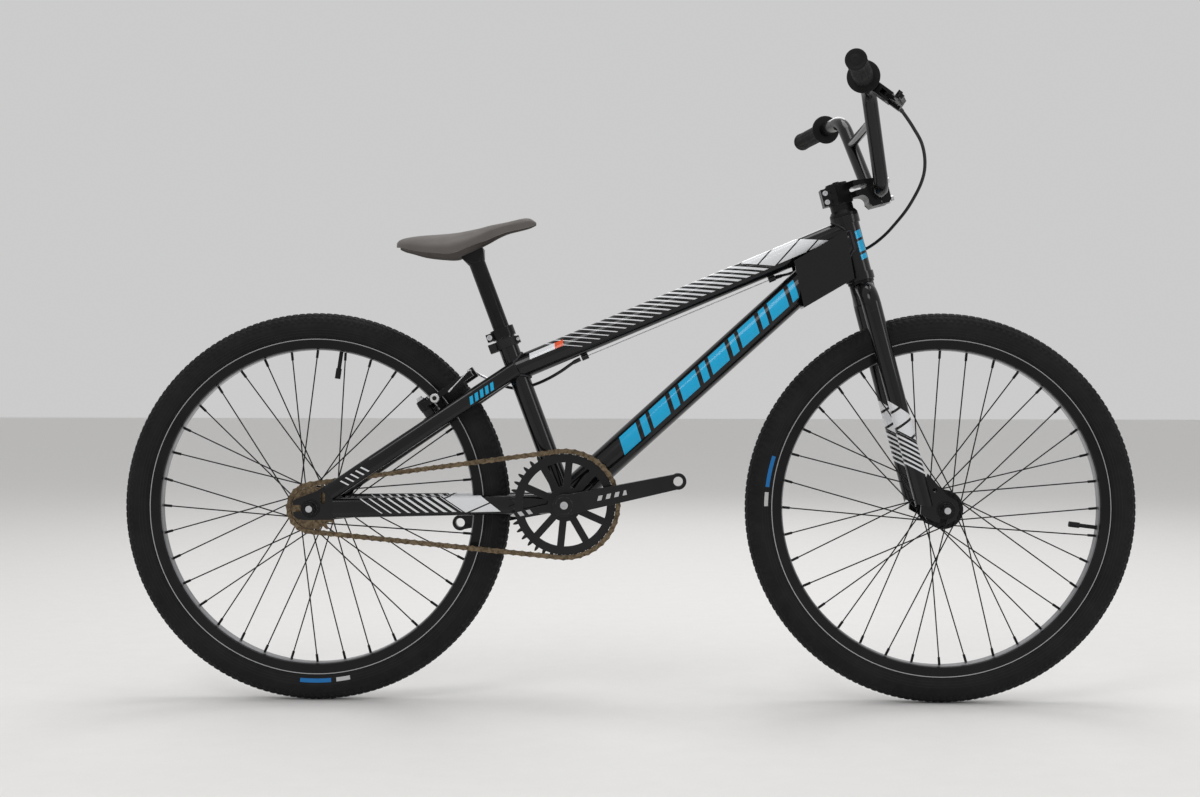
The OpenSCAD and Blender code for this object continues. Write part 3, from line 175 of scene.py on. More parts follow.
def tube(name, path, radii, sides=16, closed=False):
    """A round tube: at each point of the path stands a ring of the given radius, in the plane at right
    angles to the path. An open tube ends in flat caps."""
    path = np.asarray(path, float)
    e1, e2 = across(path, closed)
    radii = np.broadcast_to(np.asarray(radii, float), len(path))[:, None, None]
    turn = np.linspace(0, 2 * math.pi, sides, endpoint=False)[None, :, None]
    rings = path[:, None, :] + radii * (np.cos(turn) * e1[:, None, :] + np.sin(turn) * e2[:, None, :])
    n = len(path)
    faces = [grid_faces(n, sides, closed, True)]
    if not closed:
        faces += [np.arange(sides)[None, ::-1], ((n - 1) * sides + np.arange(sides))[None, :]]
    return mesh_from(name, rings.reshape(-1, 3), faces, 50)


def step_up(x, soft):
    """0 below 0 and 1 above, with an even ramp soft wide between."""
    return np.clip(x / soft + 0.5, 0, 1)


def tyre_surface(name, node, centre, tread_depth, blocks):
    """A tyre is a ring of which each cut is an arc of the tyre's own radius round the crown, from bead to
    bead, and a smaller arc back inside. Round the crown the outer arc sinks by the tread depth between
    blocks: a middle row of arrow shapes, two rows set half a pitch on, and a row of small shoulder blocks."""
    low, high = node_box(node)
    arc = (high[1] - low[1]) / 2
    ring = (high[0] - low[0]) / 2 - arc
    bead = TYRE_BEAD_R - ring
    outer = np.linspace(-1, 1, 62) * (math.acos(bead / arc) - 0.005)
    thin = arc - TYRE_WALL
    inner = np.linspace(1, -1, 12) * math.acos(bead / thin)
    around = np.arange(blocks * 6) / (blocks * 6)
    u, v = np.meshgrid(around * blocks, outer * arc, indexing="ij")
    side = np.abs(v)

    def row(shift, share, first, last):
        place = np.abs((u + shift) % 1 - 0.5)
        return (step_up(share / 2 - place, 0.2) * step_up(side - first, 1.2) * step_up(last - side, 1.2))

    tread = np.maximum.reduce([
        row(0.055 * side, 0.72, -1.0, 6.2),
        row(0.5 + 0.05 * side, 0.70, 8.0, 14.6),
        row(0.06 * side, 0.62, 16.4, 22.6),
        row(0.5 - 0.02 * side, 0.5, 24.2, 28.6) * 0.7,
    ])
    wall = step_up(side - 33, 8)
    radius = arc - tread_depth * (1 - tread) * (1 - wall) - 0.5 * wall
    radius = np.where(side > 46, arc - 0.5 + 0.4 * np.clip((side - 46) / 3, 0, 1), radius)
    r_out = ring + radius * np.cos(outer)[None, :]
    y_out = radius * np.sin(outer)[None, :]
    r_in = np.broadcast_to(ring + thin * np.cos(inner), (len(around), len(inner)))
    y_in = np.broadcast_to(thin * np.sin(inner), r_in.shape)
    r, y = np.hstack([r_out, r_in]), np.hstack([y_out, y_in])
    turn = 2 * math.pi * around[:, None]
    points = np.stack([centre[0] + r * np.cos(turn), centre[1] + y, centre[2] + r * np.sin(turn)], 2)
    faces = [grid_faces(points.shape[0], points.shape[1], True, True)]
    return mesh_from(name, points.reshape(-1, 3), faces, 60)


def grip_surface(name, side, rib_pitch, rib_depth):
    """A grip is a closed outline turned round the bar: a round-edged flange, a barrel whose radius falls
    by the rib depth at even steps and in eight shallow flutes, an end bead, a closed end with two rings
    pressed into it, and the bore back along the bar."""
    along = unit(GRIP_TO - GRIP_FROM)
    length = np.linalg.norm(GRIP_TO - GRIP_FROM)
    corner = np.linspace(0, math.pi, 9)
    s = np.concatenate([[0.0], 2 - 2 * np.cos(corner), np.linspace(4.6, length - 3, GRIP_RINGS),
                        length + 0.5 - 2.4 * np.cos(corner),
                        length + np.array([2.9, 2.2, 2.2, 2.9, 2.9, 2.4, 2.4, 0.2, 0.2]), [0.0]])
    r = np.concatenate([[GRIP_BORE_R], 21.5 + 2 * np.sin(corner), np.full(GRIP_RINGS, GRIP_BARREL_R),
                        14.2 + 0.8 * np.sin(corner),
                        [10.5, 9.8, 7.0, 6.4, 3.2, 2.8, 0.05, 0.05, GRIP_BORE_R, GRIP_BORE_R]])
    ribbed = np.zeros(len(s))
    ribbed[10:10 + GRIP_RINGS] = 1
    turn = np.linspace(0, 2 * math.pi, 96, endpoint=False)[:, None]
    wave = 0.5 + 0.5 * np.cos(2 * math.pi * s[None, :] / rib_pitch)
    groove = step_up(wave - 0.62, 0.35)
    flute = step_up(np.cos(8 * turn) - 0.86, 0.12)
    radius = r[None, :] - rib_depth * ribbed[None, :] * np.maximum(groove, 0.8 * flute)
    e1 = unit(np.cross(along, [0, 0, 1]))
    e2 = np.cross(along, e1)
    points = (GRIP_FROM + s[None, :, None] * along
              + radius[:, :, None] * (np.cos(turn)[:, :, None] * e1 + np.sin(turn)[:, :, None] * e2))
    points = points * np.array([1, side, 1])
    return mesh_from(name, points.reshape(-1, 3), [grid_faces(96, len(s), True, True)], 50)


def saddle_surface(name, spans, half_points):
    """The saddle is a shell lofted through stations. Each cut is an outer skin from lip to lip, whose
    height falls from ridge to edge as a power of the cosine while its width follows the sine, and the
    same skin set in by the wall, going back."""
    rows = smooth_path(SADDLE_ROWS, spans)
    x, wide, ridge, edge, lip = rows.T[:, :, None]
    wide = wide * 142 / 144
    wall = np.minimum(np.minimum(4.0, wide * 0.4), (edge - lip) * 0.7)
    q = np.linspace(-1, 1, 2 * half_points + 1)[None, :] * math.pi / 2

    def skin(inset):
        y = np.maximum(0.5, wide - inset) * np.sin(q)
        z = edge + (ridge - edge) * np.maximum(np.cos(q), 0) ** 1.2 - inset
        ends = np.maximum(0.5, wide - inset)
        return (np.hstack([-ends, y, ends]), np.hstack([lip, z, lip]))

    y0, z0 = skin(0.0)
    y1, z1 = skin(wall)
    y, z = np.hstack([y0, y1[:, ::-1]]), np.hstack([z0, z1[:, ::-1]])
    points = np.stack([np.broadcast_to(x, y.shape), y, z], 2) + POST_TOP
    m, n = y.shape
    k = np.arange(n // 2 - 1)
    caps = [np.stack([base + k, base + k + 1, base + n - 2 - k, base + n - 1 - k], 1)
            for base in (0, (m - 1) * n)]
    caps[0] = caps[0][:, ::-1]
    return mesh_from(name, points.reshape(-1, 3), [grid_faces(m, n, False, True)] + caps[::-1], 32)


def weld_bead(name, start, direction, radius, axis_point, axis_dir, other_radius, bead):
    """Where a round tube runs into a round body: from each point round the tube a line along the tube
    meets the body's surface at the nearer root of the quadratic for its distance from the body's axis.
    A ring of small overlapping ripples follows those points."""
    d, c = unit(direction), unit(axis_dir)
    e1 = unit(np.cross(d, [0, 1, 0]))
    e2 = np.cross(d, e1)
    ripples = int(2 * math.pi * radius / 2.6)
    turn = np.linspace(0, 2 * math.pi, ripples * 5, endpoint=False)[:, None]
    on_tube = start + (radius + 0.35 * bead) * (np.cos(turn) * e1 + np.sin(turn) * e2)
    w = d - (d @ c) * c
    m = on_tube - axis_point
    m = m - (m @ c)[:, None] * c
    half, inside = m @ w, (m * m).sum(1) - (other_radius + 0.35 * bead) ** 2
    root = np.sqrt(np.maximum(half ** 2 - (w @ w) * inside, 0))
    path = on_tube + ((-half - root) / (w @ w))[:, None] * d
    wave = np.abs(np.sin(turn[:, 0] * ripples / 2))
    return tube(name, path, bead * (0.82 + 0.25 * wave), 10, closed=True)


# ---- finishes ----
BASE_IOR = 1.25  # under the coat, so that dark parts stay deep


class Finish:
    """A material's shader, with short words for the sums a pattern needs. Lengths are in millimetres."""

    def __init__(self, name):
        self.material = bpy.data.materials.new(name)
        self.material.use_nodes = True
        self.tree = self.material.node_tree
        self.tree.nodes.clear()
        self.place = self.node("ShaderNodeTexCoord").outputs["Object"]

    def node(self, kind, inputs=None, **settings):
        made = self.tree.nodes.new(kind)
        for key, value in settings.items():
            setattr(made, key, value)
        for key, value in (inputs or {}).items():
            if isinstance(value, bpy.types.NodeSocket):
                self.tree.links.new(value, made.inputs[key])
            else:
                made.inputs[key].default_value = value
        return made

    def sum(self, operation, *values):
        """One arithmetic step on numbers or sockets."""
        return self.node("ShaderNodeMath", dict(enumerate(values)), operation=operation).outputs[0]

    def along(self, start, direction):
        """How far a point is from start, measured along direction, in millimetres."""
        d = unit(direction)
        dot = self.node("ShaderNodeVectorMath", {0: self.place, 1: tuple(d / MM)}, operation="DOT_PRODUCT")
        return self.sum("SUBTRACT", dot.outputs["Value"], float(np.asarray(start) @ d))

    def both(self, *masks):
        """1 where every mask is 1."""
        made = masks[0]
        for mask in masks[1:]:
            made = self.sum("MULTIPLY", made, mask)
        return made

    def between(self, value, low, high):
        """1 where low < value < high, and 0 elsewhere."""
        return self.both(self.sum("GREATER_THAN", value, low), self.sum("LESS_THAN", value, high))

    def noise(self, scale, detail=3.0, rough=0.55):
        """Soft noise of a given scale, between 0 and 1."""
        inputs = {"Vector": self.place, "Scale": scale, "Detail": detail, "Roughness": rough}
        return self.node("ShaderNodeTexNoise", inputs).outputs["Fac"]

    def spread(self, value, low, high, to_low, to_high):
        """value taken from the range low..high to the range to_low..to_high, and held there."""
        inputs = {0: value, 1: low, 2: high, 3: to_low, 4: to_high}
        return self.node("ShaderNodeMapRange", inputs).outputs[0]

    def blend(self, share, first, second):
        """The colour first where share is 0 and second where it is 1."""
        made = self.node("ShaderNodeMix", data_type="RGBA")
        for socket, value in ((made.inputs[0], share), (made.inputs[6], first), (made.inputs[7], second)):
            if isinstance(value, bpy.types.NodeSocket):
                self.tree.links.new(value, socket)
            elif isinstance(value, (int, float)):
                socket.default_value = value
            else:
                socket.default_value = (*value[:3], 1.0)
        return made.outputs[2]

    def radius_from(self, centre):
        """The distance from a wheel's axle line, in millimetres."""
        x = self.along(centre, [1, 0, 0])
        z = self.along(centre, [0, 0, 1])
        return self.sum("SQRT", self.sum("ADD", self.sum("MULTIPLY", x, x), self.sum("MULTIPLY", z, z)))

    def stripes(self, origin, direction, span, height, pitch, thick, slant, ends=None, phase=None,
                taper=(0.0, 0.0)):
        """Slanted stripes along a tube. q is the distance along the tube less slant times the height on
        it. A stripe shows where q's share of a pitch, counted from phase, is under the thickness, which
        runs from the first to the second value over the span. The band ends where the distance less ends
        times the height leaves the span, and its lower and upper heights move by taper for each
        millimetre along."""
        d = unit(direction)
        up = np.array([-d[2], 0.0, d[0]])
        s, h = self.along(origin, d), self.along(origin, up)
        q = self.sum("SUBTRACT", s, self.sum("MULTIPLY", h, slant))
        end = self.sum("SUBTRACT", s, self.sum("MULTIPLY", h, slant if ends is None else ends))
        past = self.sum("SUBTRACT", q, span[0] if phase is None else phase)
        share = self.sum("FRACT", self.sum("DIVIDE", past, pitch))
        limit = self.spread(end, span[0], span[1], thick[0], thick[1])
        shown = self.both(self.sum("LESS_THAN", share, limit), self.between(end, span[0], span[1]))
        run = self.sum("SUBTRACT", s, span[0])
        low = self.sum("ADD", height[0], self.sum("MULTIPLY", run, taper[0]))
        high = self.sum("ADD", height[1], self.sum("MULTIPLY", run, taper[1]))
        return self.both(shown, self.sum("GREATER_THAN", h, low), self.sum("LESS_THAN", h, high))

    def build(self, colour, roughness, metallic=0.0, coat=0.0, grain=(900.0, 0.02), soft=0.5, vary=0.25,
              worn=None, marks=(), sheen=0.0):
        """The shader: colour drifts by vary over a few centimetres, roughness runs between two values,
        grain is the scale and depth of a fine relief, soft rounds hard edges, worn lightens the edges
        where the rounded and the true normal part, and marks lie on top."""
        cloud = self.noise(22.0, 4.0)
        shade = tuple(c * (1 - vary) for c in colour), tuple(min(1.0, c * (1 + vary)) for c in colour)
        base = self.blend(self.spread(cloud, 0.3, 0.7, 0.0, 1.0), *shade)
        rounded = self.node("ShaderNodeBevel", {"Radius": soft * MM}, samples=4).outputs[0]
        if worn:
            true = self.node("ShaderNodeNewGeometry").outputs["Normal"]
            agree = self.node("ShaderNodeVectorMath", {0: rounded, 1: true}, operation="DOT_PRODUCT")
            edge = self.spread(agree.outputs["Value"], 0.985, 0.86, 0.0, 1.0)
            patch = self.spread(self.noise(160.0, 5.0, 0.7), 0.46, 0.62, 0.0, worn[1])
            base = self.blend(self.both(edge, patch), base, worn[0])
        rough = self.spread(self.noise(60.0, 5.0, 0.6), 0.3, 0.7, roughness[0], roughness[1])
        for mask, mark_colour in marks:
            base = self.blend(mask, base, mark_colour)
        fine = self.noise(grain[0], 2.0)
        bump = self.node("ShaderNodeBump", {"Height": fine, "Normal": rounded, "Strength": 1.0,
                                            "Distance": grain[1] * MM})
        shader = self.node("ShaderNodeBsdfPrincipled", {
            "Base Color": base, "Roughness": rough, "Metallic": metallic, "Coat Weight": coat,
            "Coat Roughness": 0.04, "IOR": BASE_IOR, "Sheen Weight": sheen, "Normal": bump.outputs[0]})
        out = self.node("ShaderNodeOutputMaterial")
        self.tree.links.new(shader.outputs[0], out.inputs[0])
        return self.material


def wear(obj, material):
    """Gives an object one material all over."""
    obj.data.materials.clear()
    obj.data.materials.append(material)


def paint(name, colour, marks=None):
    """Gloss black paint under clear lacquer, with the marks that a function draws on it."""
    look = Finish(name)
    return look.build(colour, (0.16, 0.26), coat=0.4, grain=(700.0, 0.008), soft=0.7, vary=0.2,
                      worn=((0.16, 0.16, 0.17), 0.35), marks=marks(look) if marks else ())


def looks():
    """The settings that the panel shows."""
    return bpy.context.scene.bmx_looks


def painted_parts():
    """The painted frame, fork and bar, each with its own plain marks."""
    s = looks()
    black, white, blue = s.paint_colour, s.stripe_colour, s.accent_colour
    top, down = TOP_FRONT - TOP_REAR, DOWN_FRONT - DOWN_REAR

    def top_marks(g):
        stripe = g.stripes(TOP_REAR, top, (92, 409), (-7.5, 19), 14.4, (0.16, 0.56), -1.95)
        facet = g.stripes(TOP_REAR, top, (413, 545), (-7, 49), 50.0, (0.9, 0.9), 2.1, ends=-1.95, phase=397,
                          taper=(0.012, -0.5))
        label = g.stripes(TOP_REAR, top, (24, 66), (5, 14), 200, (1.0, 1.0), 0.3)
        tip = g.stripes(TOP_REAR, top, (66, 80), (5, 14), 200, (1.0, 1.0), 0.3)
        return ((stripe, white), (facet, white), (label, white), (tip, (0.75, 0.1, 0.03)))

    def down_marks(g):
        wide = g.stripes(DOWN_REAR, down, (118, 482), (-10, 16), 61.0, (0.56, 0.56), 0.45)
        thin = g.stripes(DOWN_REAR, down, (118, 482), (-10, 16), 61.0, (0.2, 0.2), 0.45, phase=160)
        return ((wide, blue), (thin, blue))

    def head_marks(g):
        blocks = [g.stripes(STEER_FOOT, STEER_DIR, span, (-18, -7), 200, (1.0, 1.0), -0.25)
                  for span in ((396, 404), (408, 425), (429, 441))]
        return tuple((block, blue) for block in blocks)

    def stay_marks(g):
        bars = g.stripes(REAR_AXLE, STAY_DIR, (290, 336), (-5, 6), 9.2, (0.62, 0.62), 0.5)
        rear = g.stripes(REAR_AXLE, STAY_DIR, (66, 112), (-3, 9), 9.2, (0.26, 0.3), -0.56)
        return ((bars, blue), (rear, white))

    def chainstay_marks(g):
        way = BRACKET - REAR_AXLE
        stripe = g.stripes(REAR_AXLE, way, (94, 216), (-9, 14), 13.4, (0.18, 0.5), -1.43)
        facet = g.stripes(REAR_AXLE, way, (219, 300), (-10, 45.5), 88.0, (0.935, 0.935), 2.4, ends=-1.43,
                          phase=264.6, taper=(0.0, -0.82))
        return ((stripe, white), (facet, white))

    def leg_marks(g):
        facet = g.stripes(STEER_FOOT, STEER_DIR, (125, 200), (-39, 15), 25.5, (0.84, 0.84), -0.4, ends=0.9,
                          phase=143.8, taper=(0.93, 0.0))
        stripe = g.stripes(STEER_FOOT, STEER_DIR, (72, 122), (-15, 15), 8.3, (0.42, 0.48), 0.9)
        return ((facet, white), (stripe, white))

    plain = paint("frame_paint", black)
    for node in ("bottom_bracket_shell", "seat_tube", "rear_dropouts", "braze_ons", "fork_crown",
                 "handlebar"):
        wear(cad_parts[node], plain)
    marked = {"top_tube": top_marks, "down_tube": down_marks, "head_tube": head_marks,
              "seatstays": stay_marks, "chainstays": chainstay_marks}
    for node, marks in marked.items():
        wear(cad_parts[node], paint(node + "_paint", black, marks))
    leg = paint("fork_leg_paint", black, leg_marks)
    for node in ("fork_leg_left", "fork_leg_right"):
        wear(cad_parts[node], leg)


def alloy_parts():
    """Black anodised parts, rims with a painted highlight round each edge, and cranks with small plain bars.
    """
    s = looks()
    alloy = Finish("black_alloy").build(
        s.alloy_colour, (0.3, 0.42), metallic=0.35, coat=0.15, grain=(2600.0, 0.01), soft=0.4,
        worn=((0.42, 0.42, 0.43), 0.5))
    for node in ("seat_clamp", "seatpost", "headset_rings", "stem", "stem_faceplate", "steerer_cap",
                 "lever_perch", "barrel_adjuster", "brake_lever", "brake_arm_left", "brake_arm_right",
                 "front_hub", "rear_hub", "front_axle_nuts", "rear_axle_nuts", "bottom_bracket_bearings"):
        wear(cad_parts[node], alloy)
    for node, centre in (("front_rim", FRONT_AXLE), ("rear_rim", REAR_AXLE)):
        g = Finish(node + "_alloy")
        r = g.radius_from(centre)
        # Painted highlights: a bright band round the rim's outer edge and a dimmer one round its inner edge
        # stand for light caught on those edges.
        outer = g.between(r, 257.6, 260.5)
        inner = g.between(r, 240.0, 242.6)
        wear(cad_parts[node], g.build(
            s.alloy_colour, (0.26, 0.38), metallic=0.4, coat=0.2, grain=(3000.0, 0.008), soft=0.4,
            marks=((outer, (0.42, 0.42, 0.43)), (inner, (0.2, 0.2, 0.21)))))
    g = Finish("crank_black")
    away = g.sum("ABSOLUTE", g.along(BRACKET, CRANK_DIR))
    up = g.along(BRACKET, np.array([-CRANK_DIR[2], 0.0, CRANK_DIR[0]]))
    share = g.sum("FRACT", g.sum("DIVIDE", g.sum("SUBTRACT", away, g.sum("MULTIPLY", up, 0.5)), 13.0))
    bars = g.both(g.between(away, 48, 96), g.between(up, -3.5, 3.5), g.sum("LESS_THAN", share, 0.5))
    crank = g.build(s.alloy_colour, (0.28, 0.4), metallic=0.1, coat=0.3, grain=(1500.0, 0.012), soft=0.7,
                    worn=((0.3, 0.3, 0.31), 0.6), marks=((bars, (0.5, 0.5, 0.5)),))
    for node in ("crank_right", "crank_left", "chainring"):
        wear(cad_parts[node], crank)


def steel_parts():
    """Zinc plated bolts and axles, dark spokes, and the brown chain with dry grease in its gaps."""
    s = looks()
    zinc = Finish("silver_steel").build(s.steel_colour, (0.22, 0.4), metallic=1.0, grain=(1800.0, 0.01),
                                        soft=0.3, vary=0.12)
    for node in ("headset_bearings", "seat_clamp_bolts", "rear_axle", "front_axle", "brake_pivot_bolts",
                 "brake_wire", "stem_bolts", "crank_spindle", "crank_bolts", "noodle"):
        wear(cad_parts[node], zinc)
    spoke = Finish("spoke_black").build((0.012, 0.012, 0.013), (0.28, 0.4), metallic=0.3, grain=(900.0, 0.01),
                                        soft=0.2)
    for node in ("front_spokes", "rear_spokes"):
        wear(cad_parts[node], spoke)
    g = Finish("chain_bronze")
    grease = g.spread(g.noise(240.0, 4.0, 0.65), 0.42, 0.62, 0.0, 0.75)
    chain = g.build(s.chain_colour, (0.28, 0.46), metallic=0.9, grain=(1400.0, 0.02), soft=0.3, vary=0.3,
                    worn=((0.6, 0.5, 0.36), 0.8), marks=((grease, (0.05, 0.035, 0.022)),))
    for node in ("chain", "freewheel"):
        wear(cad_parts[node], chain)


def rubber_parts():
    """Brake rubber, the inner tubes' valves and the plastic reflector bracket."""
    rubber = Finish("pad_rubber").build((0.014, 0.014, 0.014), (0.55, 0.75), grain=(800.0, 0.04), soft=0.5)
    for node in ("brake_pad_left", "brake_pad_right", "front_tube_valve", "rear_tube_valve"):
        wear(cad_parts[node], rubber)
    plastic = Finish("clamp_plastic").build((0.02, 0.02, 0.02), (0.32, 0.48), grain=(1200.0, 0.03), soft=0.6)
    wear(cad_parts["reflector_bracket"], plastic)


def tyre_finish(name, centre, label_turn):
    """Tyre rubber with fine moulding lines round the wall, and a blue block and a grey one printed on it."""
    g = Finish(name)
    r = g.radius_from(centre)
    x, z = g.along(centre, [1, 0, 0]), g.along(centre, [0, 0, 1])
    turn = g.sum("ARCTAN2", z, x)
    print_band = g.between(r, 264.5, 270.5)
    first = g.between(turn, label_turn - 0.16, label_turn + 0.02)
    second = g.between(turn, label_turn + 0.05, label_turn + 0.13)
    ring = g.sum("LESS_THAN", g.sum("FRACT", g.sum("DIVIDE", r, 4.2)), 0.1)
    low_wall = g.between(r, 259.5, 277)
    return g.build((0.011, 0.011, 0.0115), (0.62, 0.82), grain=(1100.0, 0.05), soft=0.3, vary=0.2, sheen=0.02,
                   marks=((g.both(ring, low_wall), (0.022, 0.022, 0.023)),
                          (g.both(print_band, first), (0.02, 0.16, 0.42)),
                          (g.both(print_band, second), (0.5, 0.5, 0.5))))


# ---- settings, operators and the panel ----
def colour_property(name, description, default):
    return bpy.props.FloatVectorProperty(name=name, description=description, default=default, size=3,
                                         min=0.0, max=1.0, subtype="COLOR")


def length_property(name, description, default, low, high):
    return bpy.props.FloatProperty(name=name, description=description, default=default, min=low, max=high,
                                   subtype="DISTANCE", unit="LENGTH")


class BmxLooks(bpy.types.PropertyGroup):
    """What a user may change about the bike's looks."""

    paint_colour: colour_property("Paint", "Gloss paint of the frame, fork and bar", (0.004, 0.004, 0.0045))
    stripe_colour: colour_property("Stripes", "Stripes on the top tube, stays and fork", (0.72, 0.73, 0.75))
    accent_colour: colour_property("Bars", "Slanted bars on the down tube and head tube", (0.007, 0.4, 0.7))
    alloy_colour: colour_property("Black alloy", "Anodised hubs, rims, stem and brake",
                                  (0.008, 0.008, 0.0085))
    steel_colour: colour_property("Steel", "Plated bolts and axles", (0.6, 0.6, 0.62))
    chain_colour: colour_property("Chain", "Chain and freewheel", (0.2, 0.15, 0.095))
    saddle_colour: colour_property("Saddle", "Moulded saddle shell", (0.125, 0.113, 0.107))
    tread_depth: length_property("Tread depth", "How deep the tread blocks are cut", 0.0017, 0.0, 0.003)
    rib_pitch: length_property("Rib pitch", "Distance from one grip rib to the next", 0.0042, 0.002, 0.01)
    rib_depth: length_property("Rib depth", "How deep the grip's grooves are", 0.0008, 0.0, 0.002)
    bead_size: length_property("Weld bead", "Radius of the weld beads", 0.0022, 0.001, 0.004)
    tread_blocks: bpy.props.IntProperty(name="Tread blocks", description="Blocks in each row round a tyre",
                                        default=176, min=40, max=200)
    light_power: bpy.props.FloatProperty(name="Main light", description="Power of the largest lamp",
                                         default=56.0, min=1.0, max=500.0)


class BMX_OT_finishes(bpy.types.Operator):
    """Gives every frame node its paint, alloy, steel or rubber."""

    bl_idname = "bmx.finishes"
    bl_label = "Finishes"

    def execute(self, context):
        painted_parts()
        alloy_parts()
        steel_parts()
        rubber_parts()
        return {"FINISHED"}


class BMX_OT_tyres(bpy.types.Operator):
    """Makes both tyres, with their tread."""

    bl_idname = "bmx.tyres"
    bl_label = "Tyres"

    def execute(self, context):
        s = looks()
        for end, centre, turn in (("front", FRONT_AXLE, 3.0), ("rear", REAR_AXLE, -1.5)):
            node = end + "_tyre"
            obj = tyre_surface(end + "_tread_tyre", node, centre, s.tread_depth / MM, s.tread_blocks)
            wear(obj, tyre_finish(end + "_tyre_rubber", centre, turn))
            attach(obj, end + "_wheel")
            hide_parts(node)
        return {"FINISHED"}


class BMX_OT_grips(bpy.types.Operator):
    """Makes the two ribbed grips."""

    bl_idname = "bmx.grips"
    bl_label = "Grips"

    def execute(self, context):
        s = looks()
        rubber = Finish("grip_rubber").build((0.01, 0.01, 0.01), (0.5, 0.72), grain=(1500.0, 0.04),
                                             soft=0.4, sheen=0.02)
        for side, turn in (("left", 1), ("right", -1)):
            obj = grip_surface("ribbed_grip_" + side, turn, s.rib_pitch / MM, s.rib_depth / MM)
            wear(obj, rubber)
            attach(obj, "steering")
            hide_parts("grip_" + side)
        return {"FINISHED"}


class BMX_OT_saddle(bpy.types.Operator):
    """Makes the moulded saddle shell."""

    bl_idname = "bmx.saddle"
    bl_label = "Saddle"

    def execute(self, context):
        obj = saddle_surface("saddle_shell", 8, 26)
        g = Finish("saddle_grey")
        # Lighter patches of noise, only where the saddle stands more than 20 mm above the post top.
        lighter_top_patches = g.both(g.spread(g.noise(90.0, 5.0, 0.7), 0.56, 0.7, 0.0, 0.35),
                       g.sum("GREATER_THAN", g.along(POST_TOP, [0, 0, 1]), 20.0))
        wear(obj, g.build(looks().saddle_colour, (0.38, 0.55), grain=(2200.0, 0.03), soft=0.8, vary=0.08,
                          worn=((0.3, 0.28, 0.27), 0.35), marks=((lighter_top_patches, (0.15, 0.137, 0.13)),)))
        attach(obj, "seat")
        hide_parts("saddle")
        return {"FINISHED"}


def housing(name, route):
    """A cable housing along its route, with a wider ferrule on each end."""
    path = smooth_path(route, 6)
    run = np.concatenate([[0], np.cumsum(np.linalg.norm(np.diff(path, axis=0), axis=1))])
    ends = np.minimum(run, run[-1] - run)
    radii = np.where(ends < 11, 3.2, 2.5)
    return tube(name, path, radii, 16)


class BMX_OT_cables(bpy.types.Operator):
    """Makes both cable housings and the end of the brake wire, from the noodle to its crimp."""

    bl_idname = "bmx.cables"
    bl_label = "Cables"

    def execute(self, context):
        sleeve = Finish("housing_black").build((0.016, 0.016, 0.017), (0.24, 0.36), coat=0.3,
                                               grain=(900.0, 0.02), soft=0.3)
        front = housing("front_cable", FRONT_ROUTE)
        wear(front, sleeve)
        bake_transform(front)
        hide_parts("front_housing")
        rear = housing("rear_cable", REAR_ROUTE)
        wear(rear, sleeve)
        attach(rear, "frame")
        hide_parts("rear_housing")
        path = smooth_path(TAIL_ROUTE, 6)
        crimp = np.arange(len(path)) > len(path) - 8
        tail = tube("brake_wire_tail", path, np.where(crimp, 1.5, 0.8), 12)
        wear(tail, bpy.data.materials["silver_steel"])
        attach(tail, "brake_arm_right")
        return {"FINISHED"}


def pad_nut(name, side):
    """A plated cap nut over a brake pad's stud: a flat outline with a round edge and a hollow in its
    middle, turned round the stud."""
    up = np.array([-STAY_DIR[2], 0.0, STAY_DIR[0]])
    seat = REAR_AXLE + PAD_ALONG * STAY_DIR + PAD_BEHIND * up + np.array([0, side * PAD_OUT, 0])
    edge = np.linspace(0, math.pi / 2, 6)
    out = np.concatenate([[0.0, 0.0, 3.0], 3.6 + 1.2 * np.sin(edge), [4.8, 3.4, 3.4]])
    r = np.concatenate([[0.05, 7.4, 7.4], 5.6 + 1.3 * np.cos(edge), [3.4, 3.2, 0.05]])
    turn = np.linspace(0, 2 * math.pi, 48, endpoint=False)[:, None]
    across_turn = np.cos(turn)[:, :, None] * STAY_DIR + np.sin(turn)[:, :, None] * up
    points = seat + r[None, :, None] * across_turn + side * out[None, :, None] * np.array([0.0, 1.0, 0.0])
    return mesh_from(name, points.reshape(-1, 3), [grid_faces(48, len(r), True, True)], 40)


class BMX_OT_brake_nuts(bpy.types.Operator):
    """Makes the plated nuts that hold the brake pads."""

    bl_idname = "bmx.brake_nuts"
    bl_label = "Brake pad nuts"

    def execute(self, context):
        for name, side in (("left", 1), ("right", -1)):
            obj = pad_nut("pad_nut_" + name, side)
            wear(obj, bpy.data.materials["silver_steel"])
            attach(obj, "brake_arm_" + name)
        return {"FINISHED"}


class BMX_OT_welds(bpy.types.Operator):
    """Lays the weld beads where the frame tubes meet."""

    bl_idname = "bmx.welds"
    bl_label = "Weld beads"

    def execute(self, context):
        bead = looks().bead_size / MM
        top, down = unit(TOP_FRONT - TOP_REAR), unit(DOWN_FRONT - DOWN_REAR)
        level = np.array([0.0, 1.0, 0.0])
        joins = {
            "weld_top_head": (TOP_REAR, top, TOP_TUBE_R, STEER_FOOT, STEER_DIR, HEAD_TUBE_R),
            "weld_down_head": (DOWN_REAR, down, DOWN_TUBE_R, STEER_FOOT, STEER_DIR, HEAD_TUBE_R),
            "weld_top_seat": (TOP_FRONT, -top, TOP_TUBE_R, BRACKET, SEAT_DIR, SEAT_TUBE_R),
            "weld_seat_shell": (BRACKET + 250 * SEAT_DIR, -SEAT_DIR, SEAT_TUBE_R, BRACKET, level, SHELL_R),
            "weld_down_shell": (DOWN_FRONT, -down, DOWN_TUBE_R, BRACKET, level, SHELL_R),
        }
        for name, (start, way, radius, point, axis, other) in joins.items():
            obj = weld_bead(name, start, way, radius, point, axis, other, bead)
            wear(obj, bpy.data.materials["frame_paint"])
            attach(obj, "frame")
        return {"FINISHED"}


